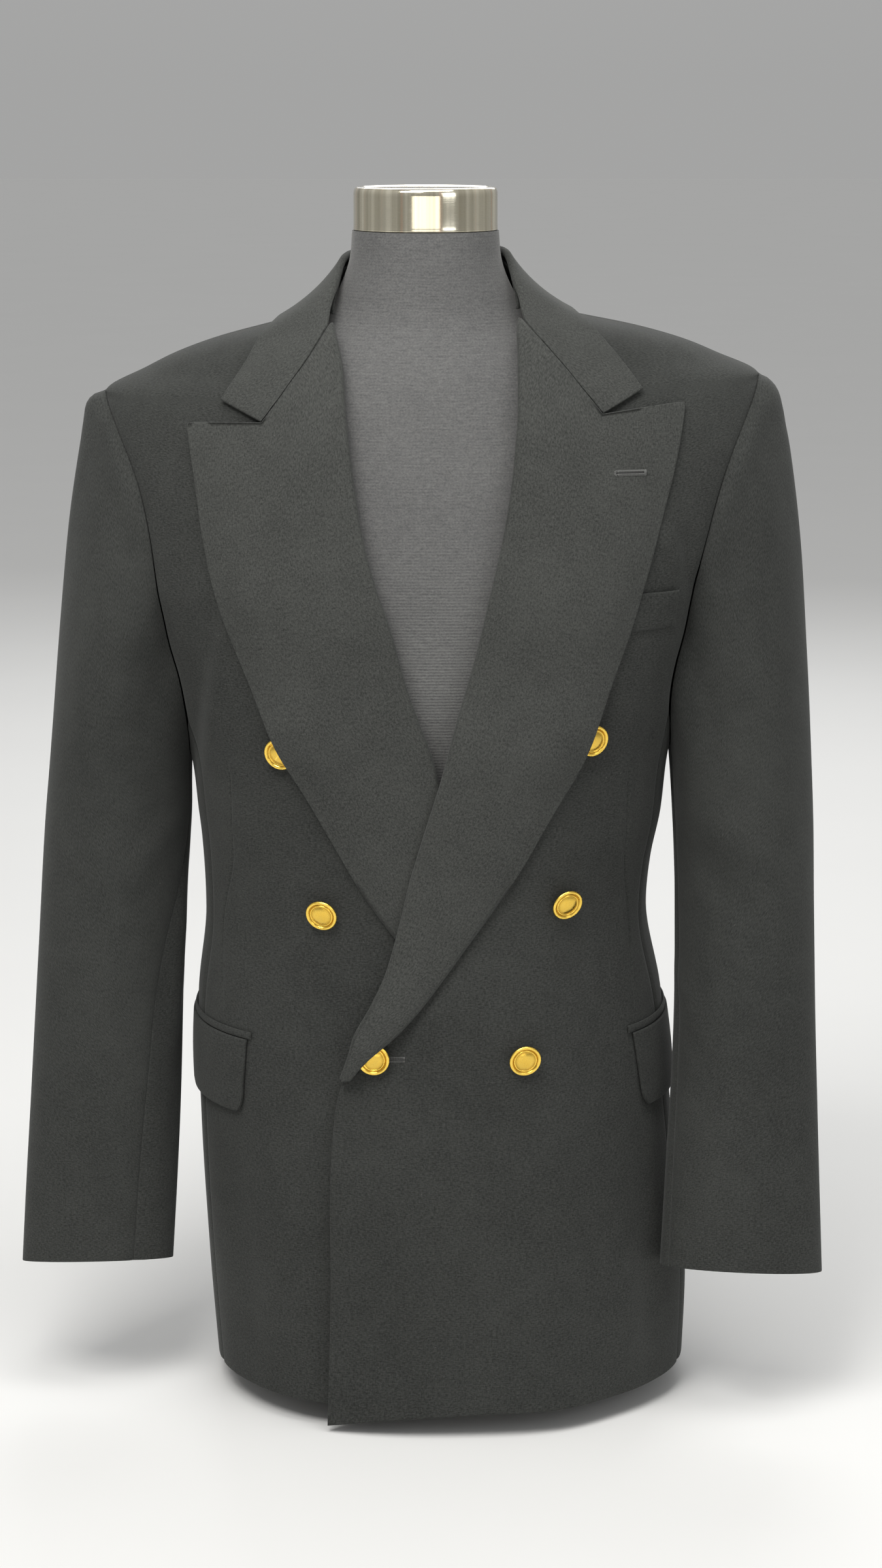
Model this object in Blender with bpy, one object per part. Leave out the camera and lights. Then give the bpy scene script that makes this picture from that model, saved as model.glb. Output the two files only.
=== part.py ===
"""Double-breasted blazer with peak lapels, standing on a limbless dress form.

Metres, +Z up, the front faces -Y, the wearer's left is +X. The origin is the centre of the
form's flat base. Every piece of cloth is a thin wall on one shared body surface, `skin`, which
is a stack of rounded-square rings, so neighbouring pieces meet along the same curves.
Heights and sideways places of the cloth are upright pattern sizes; `skin` then shifts and
leans them the way the blazer hangs on the form.
"""
import math
from collections import namedtuple

import bmesh
import bpy
import numpy as np

# ---------------------------------------------------------------- driving dimensions
CLOTH = 0.0020           # wall of a front, back, side or sleeve
FACED = 0.0022           # wall of a lapel or collar leaf, cloth on both sides
STAND_CLOTH = 0.0016     # wall of the collar stand
WELT_CLOTH, JET_CLOTH, FLAP_CLOTH = 0.0011, 0.0016, 0.0020
WELT_OFF = 0.0008        # gap under the welt, where the chest falls away below it
SEAM_GAP = 0.0003        # clear gap between two pieces that are sewn together
CROTCH_GAP = 0.0007      # the sleeve stands off the side panel where both hang down
LAY_GAP = 0.0026         # air under a lapel that lies on its front
OVERLAP_LIFT = 0.0080    # how far the over-wrapping left front stands off the right one
HEM_HEIGHT = 0.0180      # hem above the base, pattern height
LEFT_CORNER_DROP = 0.0135   # the left front's lower corner hangs below the hem line
CORNER_REACH, CORNER_POWER = 0.0860, 1.7   # how far in, and how steeply, it falls to that corner
SHOULDER_TOP = 0.7990    # neckline seam
ARMHOLE_TOP = 0.7470     # shoulder point of the armhole
ARMHOLE_FOOT = 0.4780    # lowest point of the armhole
SIDE_PANEL_TOP = 0.5100  # where the side seams run into the armhole
SIDE_SEAM_HEM = {"before": 75.0, "behind": 66.0}   # degrees from centre front or back at the hem
LEAN = 0.026             # the blazer's rise towards the wearer's left, per metre sideways
LEAN_FROM, LEAN_TO = 0.20, 0.60
GORGE = (0.0665, 0.7900)  # where collar and lapel meet on the roll line: sideways, height
GORGE_SQUARE = (0.775, 0.633)   # direction square to the gorge seam, towards the collar
GORGE_GAP, GORGE_RISE = 0.0004, 1.25   # gap along the gorge; the seam's slope across the roll
NOTCH = (0.1163, 0.7290)  # inner corner of the notch
NOTCH_DIP_FROM = 0.620   # roll height from which the lapel's rows bend down to the notch
COLLAR_TIP = (0.1452, 0.7440)
COLLAR_EDGE_HIGH = (0.1260, 0.7690)   # outer edge of the leaf, level with the gorge's top
BUTTON_ROOM, BUTTON_ROOM_SPREAD = 0.0068, 0.036   # a lapel rises over a button below it
BUTTON_RADIUS = 0.0115
BUTTON_SIDES = 12
SHANK_FOOT, SHANK_CLEAR = 0.0012, 0.0014   # gap under the shank, shank length of a level button
FLAP_HEIGHT, FLAP_TOP = 0.056, 0.2855
FLAP_CORNER, FLAP_SLANT = 0.012, 0.035
FLAP_OUT, FLAP_STAND_OFF = 0.0008, 0.0008
FLAP_END_ANGLE = math.radians(97)
JET_HEIGHT, JET_OVERHANG = 0.0055, 0.003
STAND_INSET, STAND_BELOW_ROLL = 0.0016, 0.0095
STAND_END_TURN, STAND_FRONT_SWEEP = 0.72, 3.0
COLLAR_SIDE_TURN = 0.52  # turn at which the collar passes the side of the neck
ELBOW_DEGREES = -113.0   # angle of the back sleeve seam, 0 = outside
SLEEVE_ROWS = 12
SLEEVE_HEAD_SHARE = 0.30  # share of the sleeve over which the armhole's shape fades
FORM_SIDES, CAP_SIDES = 24, 32

Section = namedtuple("Section", "height centre half_width front back squareness")
BODY = (                                          # rings of the blazer's outside
    Section(0.000, 0.0184, 0.1750, 0.142, 0.117, 2.30),
    Section(0.100, 0.0157, 0.1794, 0.141, 0.122, 2.30),
    Section(0.200, 0.0076, 0.1760, 0.140, 0.120, 2.30),
    Section(0.300, 0.0025, 0.1715, 0.138, 0.106, 2.30),
    Section(0.365, 0.0000, 0.1625, 0.135, 0.092, 2.30),
    Section(0.400, 0.0010, 0.1645, 0.136, 0.088, 2.30),
    Section(0.435, 0.0030, 0.1695, 0.138, 0.090, 2.30),
    Section(0.478, 0.0030, 0.1745, 0.141, 0.097, 2.30),
    Section(0.530, 0.0010, 0.1890, 0.144, 0.104, 2.30),
    Section(0.600, 0.0010, 0.2120, 0.143, 0.112, 2.30),
    Section(0.650, 0.0035, 0.2290, 0.136, 0.113, 2.30),
    Section(0.700, 0.0050, 0.2380, 0.125, 0.109, 2.30),
    Section(0.725, 0.0050, 0.2378, 0.117, 0.105, 2.25),
    Section(0.747, 0.0045, 0.2340, 0.107, 0.098, 2.15),
    Section(0.762, 0.0040, 0.2050, 0.100, 0.092, 2.00),
    Section(0.773, 0.0030, 0.1800, 0.094, 0.088, 2.00),
    Section(0.783, 0.0015, 0.1480, 0.088, 0.083, 2.00),
    Section(0.791, 0.0005, 0.1130, 0.084, 0.079, 2.00),
    Section(0.799, 0.0000, 0.0780, 0.078, 0.0745, 2.00),
)
FORM = (                                          # rings of the dress form
    Section(0.000, 0, 0.118, 0.088, 0.078, 2.3),
    Section(0.004, 0, 0.127, 0.096, 0.086, 2.3),
    Section(0.035, 0, 0.140, 0.110, 0.096, 2.3),
    Section(0.100, 0, 0.148, 0.122, 0.106, 2.3),
    Section(0.200, 0, 0.154, 0.124, 0.106, 2.3),
    Section(0.300, 0, 0.151, 0.120, 0.092, 2.3),
    Section(0.365, 0, 0.146, 0.117, 0.078, 2.3),
    Section(0.435, 0, 0.150, 0.121, 0.077, 2.3),
    Section(0.500, 0, 0.159, 0.128, 0.085, 2.3),
    Section(0.560, 0, 0.169, 0.131, 0.093, 2.3),
    Section(0.620, 0, 0.180, 0.129, 0.099, 2.3),
    Section(0.680, 0, 0.188, 0.118, 0.098, 2.2),
    Section(0.720, 0, 0.191, 0.105, 0.091, 2.2),
    Section(0.742, 0, 0.187, 0.097, 0.085, 2.1),
    Section(0.757, 0, 0.168, 0.090, 0.079, 2.0),
    Section(0.768, 0, 0.138, 0.083, 0.074, 2.0),
    Section(0.777, 0, 0.107, 0.077, 0.070, 2.0),
    Section(0.785, 0, 0.087, 0.071, 0.067, 2.0),
    Section(0.796, 0, 0.0725, 0.065, 0.0655, 2.0),
    Section(0.812, 0, 0.0625, 0.060, 0.0605, 2.0),
    Section(0.832, 0, 0.0545, 0.056, 0.0560, 2.0),
    Section(0.8537, 0, 0.0522, 0.0525, 0.0525, 2.0),
)
Seam = namedtuple("Seam", "height across")
ARMHOLE = (                                       # armhole seam, front and back alike
    Seam(0.478, 0.1745), Seam(0.500, 0.1735), Seam(0.525, 0.1745), Seam(0.545, 0.1775),
    Seam(0.570, 0.1835), Seam(0.593, 0.1870), Seam(0.6145, 0.1906), Seam(0.638, 0.1948),
    Seam(0.663, 0.2000), Seam(0.683, 0.2055), Seam(0.701, 0.2124), Seam(0.7195, 0.2211),
    Seam(0.735, 0.2285), Seam(0.747, 0.2340),
)
EDGE = {                                          # front edge, then roll line, then neckline
    "left": (Seam(0.000, -0.0874), Seam(0.097, -0.0823), Seam(0.225, -0.0702),
             Seam(0.255, -0.0647), Seam(0.284, -0.0539), Seam(0.301, -0.0484),
             Seam(0.3185, -0.0380), Seam(0.345, -0.0251), Seam(0.381, -0.0155),
             Seam(0.424, -0.0075), Seam(0.469, 0.0056), Seam(0.519, 0.0210),
             Seam(0.566, 0.0353), Seam(0.611, 0.0458), Seam(0.669, 0.0551),
             Seam(0.723, 0.0606), Seam(0.790, 0.0665), Seam(0.799, 0.0760)),
    "right": (Seam(0.000, -0.0850), Seam(0.200, -0.0790), Seam(0.260, -0.0740),
              Seam(0.285, -0.0660), Seam(0.310, -0.0540), Seam(0.330, -0.0440),
              Seam(0.360, -0.0340), Seam(0.400, -0.0240), Seam(0.440, -0.0140),
              Seam(0.475, -0.0053), Seam(0.504, 0.0009), Seam(0.552, 0.0169),
              Seam(0.5925, 0.0280), Seam(0.642, 0.0459), Seam(0.680, 0.0545),
              Seam(0.729, 0.0611), Seam(0.790, 0.0665), Seam(0.799, 0.0760)),
}
LapelRow = namedtuple("LapelRow", "roll_height edge_across edge_height")
LAPEL = {                                         # outer edge, row by row up the roll line
    "left": (LapelRow(0.268, -0.0540, 0.2690), LapelRow(0.284, -0.0420, 0.2837),
             LapelRow(0.305, -0.0208, 0.3025), LapelRow(0.335, 0.0000, 0.3250),
             LapelRow(0.375, 0.0250, 0.3590), LapelRow(0.424, 0.0530, 0.4030),
             LapelRow(0.475, 0.0770, 0.4470), LapelRow(0.530, 0.1030, 0.4930),
             LapelRow(0.585, 0.1290, 0.5500), LapelRow(0.635, 0.1470, 0.6020),
             LapelRow(0.690, 0.1610, 0.6645), LapelRow(0.745, 0.1700, 0.7060),
             LapelRow(0.790, 0.1750, 0.7350)),
    "right": (LapelRow(0.285, -0.0610, 0.2850), LapelRow(0.310, -0.0400, 0.2990),
              LapelRow(0.345, -0.0080, 0.3320), LapelRow(0.390, 0.0220, 0.3700),
              LapelRow(0.440, 0.0545, 0.4160), LapelRow(0.500, 0.0860, 0.4740),
              LapelRow(0.560, 0.1130, 0.5310), LapelRow(0.620, 0.1390, 0.5940),
              LapelRow(0.680, 0.1560, 0.6490), LapelRow(0.740, 0.1650, 0.7000),
              LapelRow(0.790, 0.1695, 0.7300)),
}
Fold = namedtuple("Fold", "height across depth")
DRAPE = {                                         # cloth falls back here, before the armhole
    "left": (Fold(0.430, 0.172, 0.000), Fold(0.480, 0.168, 0.007), Fold(0.530, 0.168, 0.010),
             Fold(0.576, 0.175, 0.009), Fold(0.600, 0.179, 0.005), Fold(0.620, 0.182, 0.000)),
    "right": (Fold(0.400, 0.172, 0.000), Fold(0.430, 0.1700, 0.006), Fold(0.495, 0.1573, 0.014),
              Fold(0.547, 0.1464, 0.012), Fold(0.590, 0.1397, 0.005), Fold(0.610, 0.138, 0.000)),
}
CollarRow = namedtuple("CollarRow", "turn roll_x roll_y roll_z edge_x edge_y edge_z hollow")
COLLAR = (                                        # half of the fall, centre back to notch
    CollarRow(0.00, 0.0000, 0.0665, 0.8400, 0.0000, 0.0835, 0.7912, 0.0004),
    CollarRow(0.20, 0.0300, 0.0600, 0.8400, 0.0470, 0.0765, 0.7920, 0.0010),
    CollarRow(0.38, 0.0520, 0.0360, 0.8395, 0.0830, 0.0520, 0.7957, 0.0025),
    CollarRow(0.52, 0.0600, 0.0040, 0.8370, 0.1010, 0.0080, 0.7978, 0.0035),
    CollarRow(0.64, 0.0640, -0.0260, 0.8230, 0.1090, -0.0330, 0.7942, 0.0015),
    CollarRow(0.75, 0.0670, -0.0500, 0.8070, 0.1170, -0.0560, 0.7867, 0.0000),
    CollarRow(0.86, 0.0680, -0.0745, 0.7930, 0.1240, -0.0690, 0.7775, 0.0000),
)
COLLAR_TURNS = (0.0, 0.13, 0.26, 0.39, 0.50, 0.60, 0.70, 0.79)
COLLAR_SHARES = (0.08, 0.30, 0.53, 0.76, 1.0)     # columns of the leaf, roll to edge
RollStep = namedtuple("RollStep", "beyond out")   # past the roll line, off the cloth below
ROLL_OUTSIDE = (RollStep(0.0026, -0.0012), RollStep(0.0022, 0.0032), RollStep(-0.0010, 0.0048))
ROLL_INSIDE = (RollStep(0.0007, -0.0014), RollStep(0.0007, 0.0020), RollStep(-0.0010, 0.0026))
CollarBend = namedtuple("CollarBend", "turn degrees arc start tail")
COLLAR_BEND = (                                   # how the fall turns over at its top
    CollarBend(0.00, 180, 0.0052, 0.0006, 0.0032),   # degrees turned, length turned, where it
    CollarBend(0.52, 180, 0.0052, 0.0006, 0.0032),   # starts below the top and the tucked tail
    CollarBend(0.72, 60, 0.0034, 0.0034, 0.0014),
    CollarBend(0.86, 15, 0.0028, 0.0042, 0.0012),
)
SleeveRow = namedtuple("SleeveRow", "height outer inner middle_y half_depth")
SLEEVE = {                                        # rings of the sleeves, as they hang
    "left": (SleeveRow(0.102, 0.2890, 0.1700, -0.097, 0.036),
             SleeveRow(0.200, 0.2860, 0.1758, -0.078, 0.042),
             SleeveRow(0.255, 0.2846, 0.1792, -0.066, 0.046),
             SleeveRow(0.314, 0.2829, 0.1812, -0.054, 0.053),
             SleeveRow(0.373, 0.2817, 0.1815, -0.040, 0.060),
             SleeveRow(0.432, 0.2810, 0.1813, -0.028, 0.067),
             SleeveRow(0.491, 0.2788, 0.1821, -0.016, 0.074),
             SleeveRow(0.549, 0.2765, 0.1850, -0.006, 0.079),
             SleeveRow(0.622, 0.2722, 0.1860, 0.000, 0.080),
             SleeveRow(0.684, 0.2647, 0.1860, 0.000, 0.075),
             SleeveRow(0.714, 0.2594, 0.1860, 0.000, 0.068),
             SleeveRow(0.739, 0.2522, 0.1860, 0.000, 0.058),
             SleeveRow(0.7531, 0.2385, 0.1860, 0.000, 0.050)),
    "right": (SleeveRow(0.099, 0.3006, 0.1886, -0.045, 0.036),
              SleeveRow(0.160, 0.2972, 0.1850, -0.036, 0.040),
              SleeveRow(0.219, 0.2933, 0.1820, -0.029, 0.045),
              SleeveRow(0.331, 0.2861, 0.1783, -0.016, 0.056),
              SleeveRow(0.4275, 0.2797, 0.1745, -0.006, 0.068),
              SleeveRow(0.476, 0.2751, 0.1778, -0.002, 0.074),
              SleeveRow(0.573, 0.2658, 0.1800, 0.000, 0.080),
              SleeveRow(0.6525, 0.2571, 0.1800, 0.000, 0.078),
              SleeveRow(0.705, 0.2485, 0.1800, 0.000, 0.068),
              SleeveRow(0.7233, 0.2450, 0.1800, 0.000, 0.060),
              SleeveRow(0.7327, 0.2405, 0.1800, 0.000, 0.055),
              SleeveRow(0.7409, 0.2295, 0.1800, 0.000, 0.050)),
}
CUFF_HEIGHT = {"left": 0.1105, "right": 0.0990}
CUFF_SLANT = {"left": 0.0025, "right": 0.0012}    # the outer side hangs lower
CUFF_LIFT = {"left": 0.0085, "right": 0.0100}     # the front is higher than the sides
SeamTurn = namedtuple("SeamTurn", "height degrees")
FOREARM_SEAM = {                                  # angle of the front sleeve seam, 0 = outside
    "left": (SeamTurn(0.10, 158.0), SeamTurn(0.30, 164.0), SeamTurn(0.45, 172.0),
             SeamTurn(0.486, 161.0)),
    "right": (SeamTurn(0.10, 121.0), SeamTurn(0.20, 124.0), SeamTurn(0.26, 129.0),
              SeamTurn(0.30, 133.0), SeamTurn(0.345, 143.0), SeamTurn(0.396, 157.0),
              SeamTurn(0.45, 176.0), SeamTurn(0.486, 161.0)),
}
Button = namedtuple("Button", "name front across height tilt_degrees under_lapel")
BUTTONS = (
    Button("button_left_top", "left", 0.1125, 0.5066, 6, True),
    Button("button_left_middle", "left", 0.0941, 0.3923, 15, False),
    Button("button_left_bottom", "left", 0.0638, 0.2832, 14, False),
    Button("button_fastened", "left", -0.0383, 0.2845, 5, True),
    Button("button_right_middle", "right", 0.0714, 0.3871, 15, False),
    Button("button_right_top", "right", 0.1016, 0.5025, 5, True),
)
Turned = namedtuple("Turned", "radius level")     # a button's level 0 is its disc's back, -1 its foot
BUTTON_PROFILE = (
    Turned(0.0028, -1), Turned(0.0028, 0.0), Turned(0.0108, 0.0002), Turned(0.0115, 0.0012),
    Turned(0.0110, 0.0024), Turned(0.0092, 0.0025), Turned(0.0086, 0.0018), Turned(0.0050, 0.0027),
)
CAP_PROFILE = (
    Turned(0.0515, 0.8540), Turned(0.0515, 0.8810), Turned(0.0506, 0.8832), Turned(0.0488, 0.8840),
)
FLAP_FRONT = {"left": 0.1450, "right": 0.1303}    # sideways place of the flap's front end
Patch = namedtuple("Patch", "across_from across_to height_from height_to")
WELT = Patch(0.0800, 0.1740, 0.5790, 0.6060)
LOW_ROWS = (0.0, 0.050, 0.100, 0.150, 0.200, 0.250, 0.285, 0.320, 0.365, 0.405, 0.445,
            0.480, SIDE_PANEL_TOP)
ARM_ROWS = (0.535, 0.560, 0.590, 0.620, 0.650, 0.680, 0.705, 0.725, 0.739)
SHOULDER_ROWS = (ARMHOLE_TOP, 0.7545, 0.762, 0.7695, 0.777, 0.7845, 0.7915, 0.7975)
SIDE_SIGN = {"left": 1.0, "right": -1.0}


# ---------------------------------------------------------------- curves and surfaces
def ramp(value, start, end):
    """Smooth step from 0 at start to 1 at end."""
    t = np.clip((np.asarray(value, float) - start) / (end - start), 0.0, 1.0)
    return t * t * (3.0 - 2.0 * t)


def read(table, column, at):
    """Smooth curve, with no overshoot, through one named column against the first column."""
    xs = np.array([row[0] for row in table], float)
    ys = np.array([getattr(row, column) for row in table], float)
    at = np.clip(np.asarray(at, float), xs[0], xs[-1])
    steps = np.diff(ys) / np.diff(xs)
    slopes = np.concatenate([steps[:1], (steps[:-1] + steps[1:]) / 2, steps[-1:]])
    limit = 3.0 * np.minimum(np.abs(steps[:-1]), np.abs(steps[1:]))
    limit[steps[:-1] * steps[1:] <= 0] = 0.0
    slopes[1:-1] = np.clip(slopes[1:-1], -limit, limit)
    k = np.clip(np.searchsorted(xs, at, side="right") - 1, 0, len(xs) - 2)
    gap = xs[k + 1] - xs[k]
    t = (at - xs[k]) / gap
    return ((1 + 2 * t) * (1 - t) ** 2 * ys[k] + t * (1 - t) ** 2 * gap * slopes[k]
            + t * t * (3 - 2 * t) * ys[k + 1] + t * t * (t - 1) * gap * slopes[k + 1])


def place(x, y, height):
    """Upright pattern place to the blazer as it hangs: shifted and leaning."""
    lean = LEAN * ramp(height, LEAN_FROM, LEAN_TO)
    return np.stack([x + read(BODY, "centre", height), y, height + lean * x], axis=-1)


def ring(table, angle, height):
    """Rounded-square ring: angle 0 is centre front, 90 degrees the wearer's left."""
    power = 2.0 / read(table, "squareness", height)
    sine, cosine = np.sin(angle), np.cos(angle)
    x = read(table, "half_width", height) * np.sign(sine) * np.abs(sine) ** power
    depth = np.where(cosine > 0, -read(table, "front", height), read(table, "back", height))
    return x, depth * np.abs(cosine) ** power


def drape(x, angle, height):
    """How far the cloth falls back between the chest and the armhole."""
    total = np.zeros_like(x)
    for side, sign in SIDE_SIGN.items():
        start = read(DRAPE[side], "across", height)
        back = read(DRAPE[side], "depth", height) * ramp(sign * x, start, start + 0.012)
        total += back * (1 - ramp(np.abs(angle), math.radians(70), math.radians(88)))
    return total


def bare_skin(angle, height, draped=True):
    x, y = ring(BODY, angle, height)
    falls_back = (np.abs(angle) < math.pi / 2) & draped
    return place(x, y + np.where(falls_back, drape(x, angle, height), 0.0), height)


def unit(vectors):
    return vectors / np.linalg.norm(vectors, axis=-1, keepdims=True)


def skin_normal(angle, height, draped=True):
    turn, rise = 0.01, 0.002
    across = bare_skin(angle + turn, height, draped) - bare_skin(angle - turn, height, draped)
    top = np.minimum(height + rise, SHOULDER_TOP)
    up = bare_skin(angle, top, draped) - bare_skin(angle, height - rise, draped)
    return unit(np.cross(across, up))


def skin(angle, height, out=0.0, draped=True):
    """Point of the blazer's body surface, moved out along its normal."""
    angle, height, out = np.broadcast_arrays(*(np.asarray(v, float) for v in (angle, height, out)))
    return bare_skin(angle, height, draped) + skin_normal(angle, height, draped) * out[..., None]


def angle_at(x, height):
    """Angle of the front point with this sideways place."""
    r = np.clip(np.asarray(x, float) / read(BODY, "half_width", height), -1, 1)
    return np.arcsin(np.sign(r) * np.abs(r) ** (read(BODY, "squareness", height) / 2.0))


def armhole_angle(height):
    return angle_at(read(ARMHOLE, "across", height), height)


def overlap_lift(x, height):
    """Height of the left front above the right one where they overlap."""
    return OVERLAP_LIFT * (1 - ramp(x, 0.070, 0.130)) * (1 - ramp(height, 0.485, 0.560))


def front_lift(side, x, height):
    return overlap_lift(x, height) if side == "left" else np.zeros_like(x * height)


# ---------------------------------------------------------------- meshes
def material(name, colour, roughness, metallic=0.0):
    made = bpy.data.materials.new(name)
    made.use_nodes = True
    shader = made.node_tree.nodes["Principled BSDF"]
    shader.inputs["Base Color"].default_value = (*colour, 1.0)
    shader.inputs["Roughness"].default_value = roughness
    shader.inputs["Metallic"].default_value = metallic
    return made


def add_object(name, vertices, faces, finish, sharp_degrees=50):
    mesh = bpy.data.meshes.new(name)
    mesh.from_pydata([tuple(map(float, v)) for v in vertices], [], faces)
    work = bmesh.new()
    work.from_mesh(mesh)
    bmesh.ops.recalc_face_normals(work, faces=work.faces)
    work.to_mesh(mesh)
    work.free()
    mesh.shade_smooth()
    mesh.set_sharp_from_angle(angle=math.radians(sharp_degrees))
    mesh.materials.append(finish)
    made = bpy.data.objects.new(name, mesh)
    bpy.context.collection.objects.link(made)
    return made


def wall(name, outer, inner, finish):
    """Closed wall between two grids of points with the same rows and columns."""
    rows, columns = outer.shape[:2]
    count = rows * columns

    def index(row, column, layer):
        return layer * count + row * columns + column

    faces = []
    for r in range(rows - 1):
        for c in range(columns - 1):
            first, second, third, fourth = (r, c), (r, c + 1), (r + 1, c + 1), (r + 1, c)
            faces.append([index(*p, 0) for p in (first, second, third, fourth)])
            faces.append([index(*p, 1) for p in (first, fourth, third, second)])
    rim = ([(0, c) for c in range(columns)] + [(r, columns - 1) for r in range(1, rows)]
           + [(rows - 1, c) for c in range(columns - 2, -1, -1)]
           + [(r, 0) for r in range(rows - 2, 0, -1)])
    for here, there in zip(rim, rim[1:] + rim[:1]):
        faces.append([index(*here, 0), index(*here, 1), index(*there, 1), index(*there, 0)])
    vertices = np.concatenate([outer.reshape(-1, 3), inner.reshape(-1, 3)])
    return add_object(name, vertices, faces, finish)


def stack_of_rings(name, rings, finish, sharp_degrees=40):
    """Solid of closed rings, lowest first, with flat ends."""
    size = len(rings[0])
    faces = [list(range(size))[::-1]]
    for r in range(len(rings) - 1):
        for c in range(size):
            after = (c + 1) % size
            faces.append([r * size + c, r * size + after, (r + 1) * size + after, (r + 1) * size + c])
    faces.append([(len(rings) - 1) * size + c for c in range(size)])
    return add_object(name, np.concatenate(rings), faces, finish, sharp_degrees)


# ---------------------------------------------------------------- body panels
def seam_inset(height):
    """Half of the seam gap, as an angle at this height."""
    return 0.5 * SEAM_GAP / read(BODY, "half_width", height)


def side_seam(height, behind):
    """Angle of the seam between front (or back) and side panel."""
    top = armhole_angle(SIDE_PANEL_TOP)
    hem = math.radians(SIDE_SEAM_HEM["behind" if behind else "before"])
    return top + (hem - top) * (1 - ramp(height, 0.10, SIDE_PANEL_TOP))


def outer_bound(height, behind):
    """Side seam, armhole and shoulder seam in one, as an angle from the centre."""
    below = side_seam(height, behind)
    at_arm = armhole_angle(np.clip(height, ARMHOLE_FOOT, ARMHOLE_TOP))
    bound = np.where(height <= SIDE_PANEL_TOP, below, at_arm)
    return np.where(height >= ARMHOLE_TOP, math.pi / 2, bound)


def hem_height(side, x):
    """Hem line: the left front's corner hangs lowest."""
    if side == "left":
        return HEM_HEIGHT - LEFT_CORNER_DROP * np.clip(-x / CORNER_REACH, 0, 1) ** CORNER_POWER
    return HEM_HEIGHT + 0.0 * x


def panel_heights(rows, columns, hem):
    """Heights of a panel's grid, the lowest row on the hem."""
    heights = np.repeat(np.array(rows)[:, None], columns, axis=1)
    heights[0] = hem
    return heights


def make_front(side, cloth):
    rows = LOW_ROWS + ARM_ROWS + SHOULDER_ROWS
    columns = 10
    share = np.linspace(0, 1, columns)[None, :]
    heights = panel_heights(rows, columns, HEM_HEIGHT)
    heights[0] = hem_height(side, np.linspace(read(EDGE[side], "across", HEM_HEIGHT), 0.16, columns))
    inset = seam_inset(heights)
    near = angle_at(read(EDGE[side], "across", heights) + 0.5 * SEAM_GAP, heights)
    far = outer_bound(heights, False) - inset
    angle = near + (far - near) * share
    x = ring(BODY, angle, heights)[0]
    lift = front_lift(side, x, heights)
    sign = SIDE_SIGN[side]
    wall("front_" + side, skin(sign * angle, heights, lift), skin(sign * angle, heights, lift - CLOTH),
         cloth)


def make_back(side, cloth):
    rows = LOW_ROWS + ARM_ROWS + SHOULDER_ROWS
    columns = 7
    share = np.linspace(0, 1, columns)[None, :]
    heights = panel_heights(rows, columns, HEM_HEIGHT)
    inset = seam_inset(heights)
    near = math.pi - inset
    far = math.pi - outer_bound(heights, True) + inset
    angle = near + (far - near) * share
    sign = SIDE_SIGN[side]
    wall("back_" + side, skin(sign * angle, heights), skin(sign * angle, heights, -CLOTH), cloth)


def armhole_height(turn):
    """Height of the armhole's lower arc, turn degrees away from the side."""
    low, high = ARMHOLE_FOOT, SIDE_PANEL_TOP
    for _ in range(40):
        middle = 0.5 * (low + high)
        if math.pi / 2 - armhole_angle(middle) < turn:
            low = middle
        else:
            high = middle
    return 0.5 * (low + high)


def make_side(side, cloth):
    columns = 5
    rows = LOW_ROWS
    share = np.linspace(0, 1, columns)[None, :]
    heights = panel_heights(rows, columns, HEM_HEIGHT)
    front = side_seam(heights, False) + seam_inset(heights)
    back = math.pi - side_seam(heights, True) - seam_inset(heights)
    angle = front + (back - front) * share
    spread = math.pi / 2 - float(armhole_angle(SIDE_PANEL_TOP))
    for c in range(columns):
        top = armhole_height(abs(2 * share[0, c] - 1) * spread) - 0.5 * SEAM_GAP
        heights[:, c] = HEM_HEIGHT + (heights[:, c] - HEM_HEIGHT) * (
            (top - HEM_HEIGHT) / (SIDE_PANEL_TOP - HEM_HEIGHT))
    sign = SIDE_SIGN[side]
    wall("side_" + side, skin(sign * angle, heights), skin(sign * angle, heights, -CLOTH), cloth)


# ---------------------------------------------------------------- lapels
def button_room(side, x, height):
    """Extra height of a lapel where it passes over a button."""
    room = np.zeros_like(x * height)
    for button in BUTTONS:
        if button.front == side and button.under_lapel:
            apart = np.hypot(x - button.across, height - button.height)
            room = room + BUTTON_ROOM * np.exp(-(apart / BUTTON_ROOM_SPREAD) ** 2)
    return room


def notch_share(side):
    """Share of a lapel's width at which its notch corner lies."""
    return (NOTCH[0] - GORGE[0]) / (LAPEL[side][-1].edge_across - GORGE[0])


def lapel_place(side, share, roll_height):
    """Pattern place of a lapel point: share 0 on the roll line, 1 on the outer edge."""
    roll_x = read(EDGE[side], "across", roll_height)
    x = roll_x + (read(LAPEL[side], "edge_across", roll_height) - roll_x) * share
    height = roll_height + (read(LAPEL[side], "edge_height", roll_height) - roll_height) * share
    notch = notch_share(side)
    straight = GORGE[1] + (LAPEL[side][-1].edge_height - GORGE[1]) * notch
    reach = np.clip((roll_height - NOTCH_DIP_FROM) / (GORGE[1] - NOTCH_DIP_FROM), 0, 1)
    beside = np.where(share < notch, share / notch, (1 - share) / (1 - notch))
    return x, height - (straight - NOTCH[1]) * reach ** 2 * beside


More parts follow.
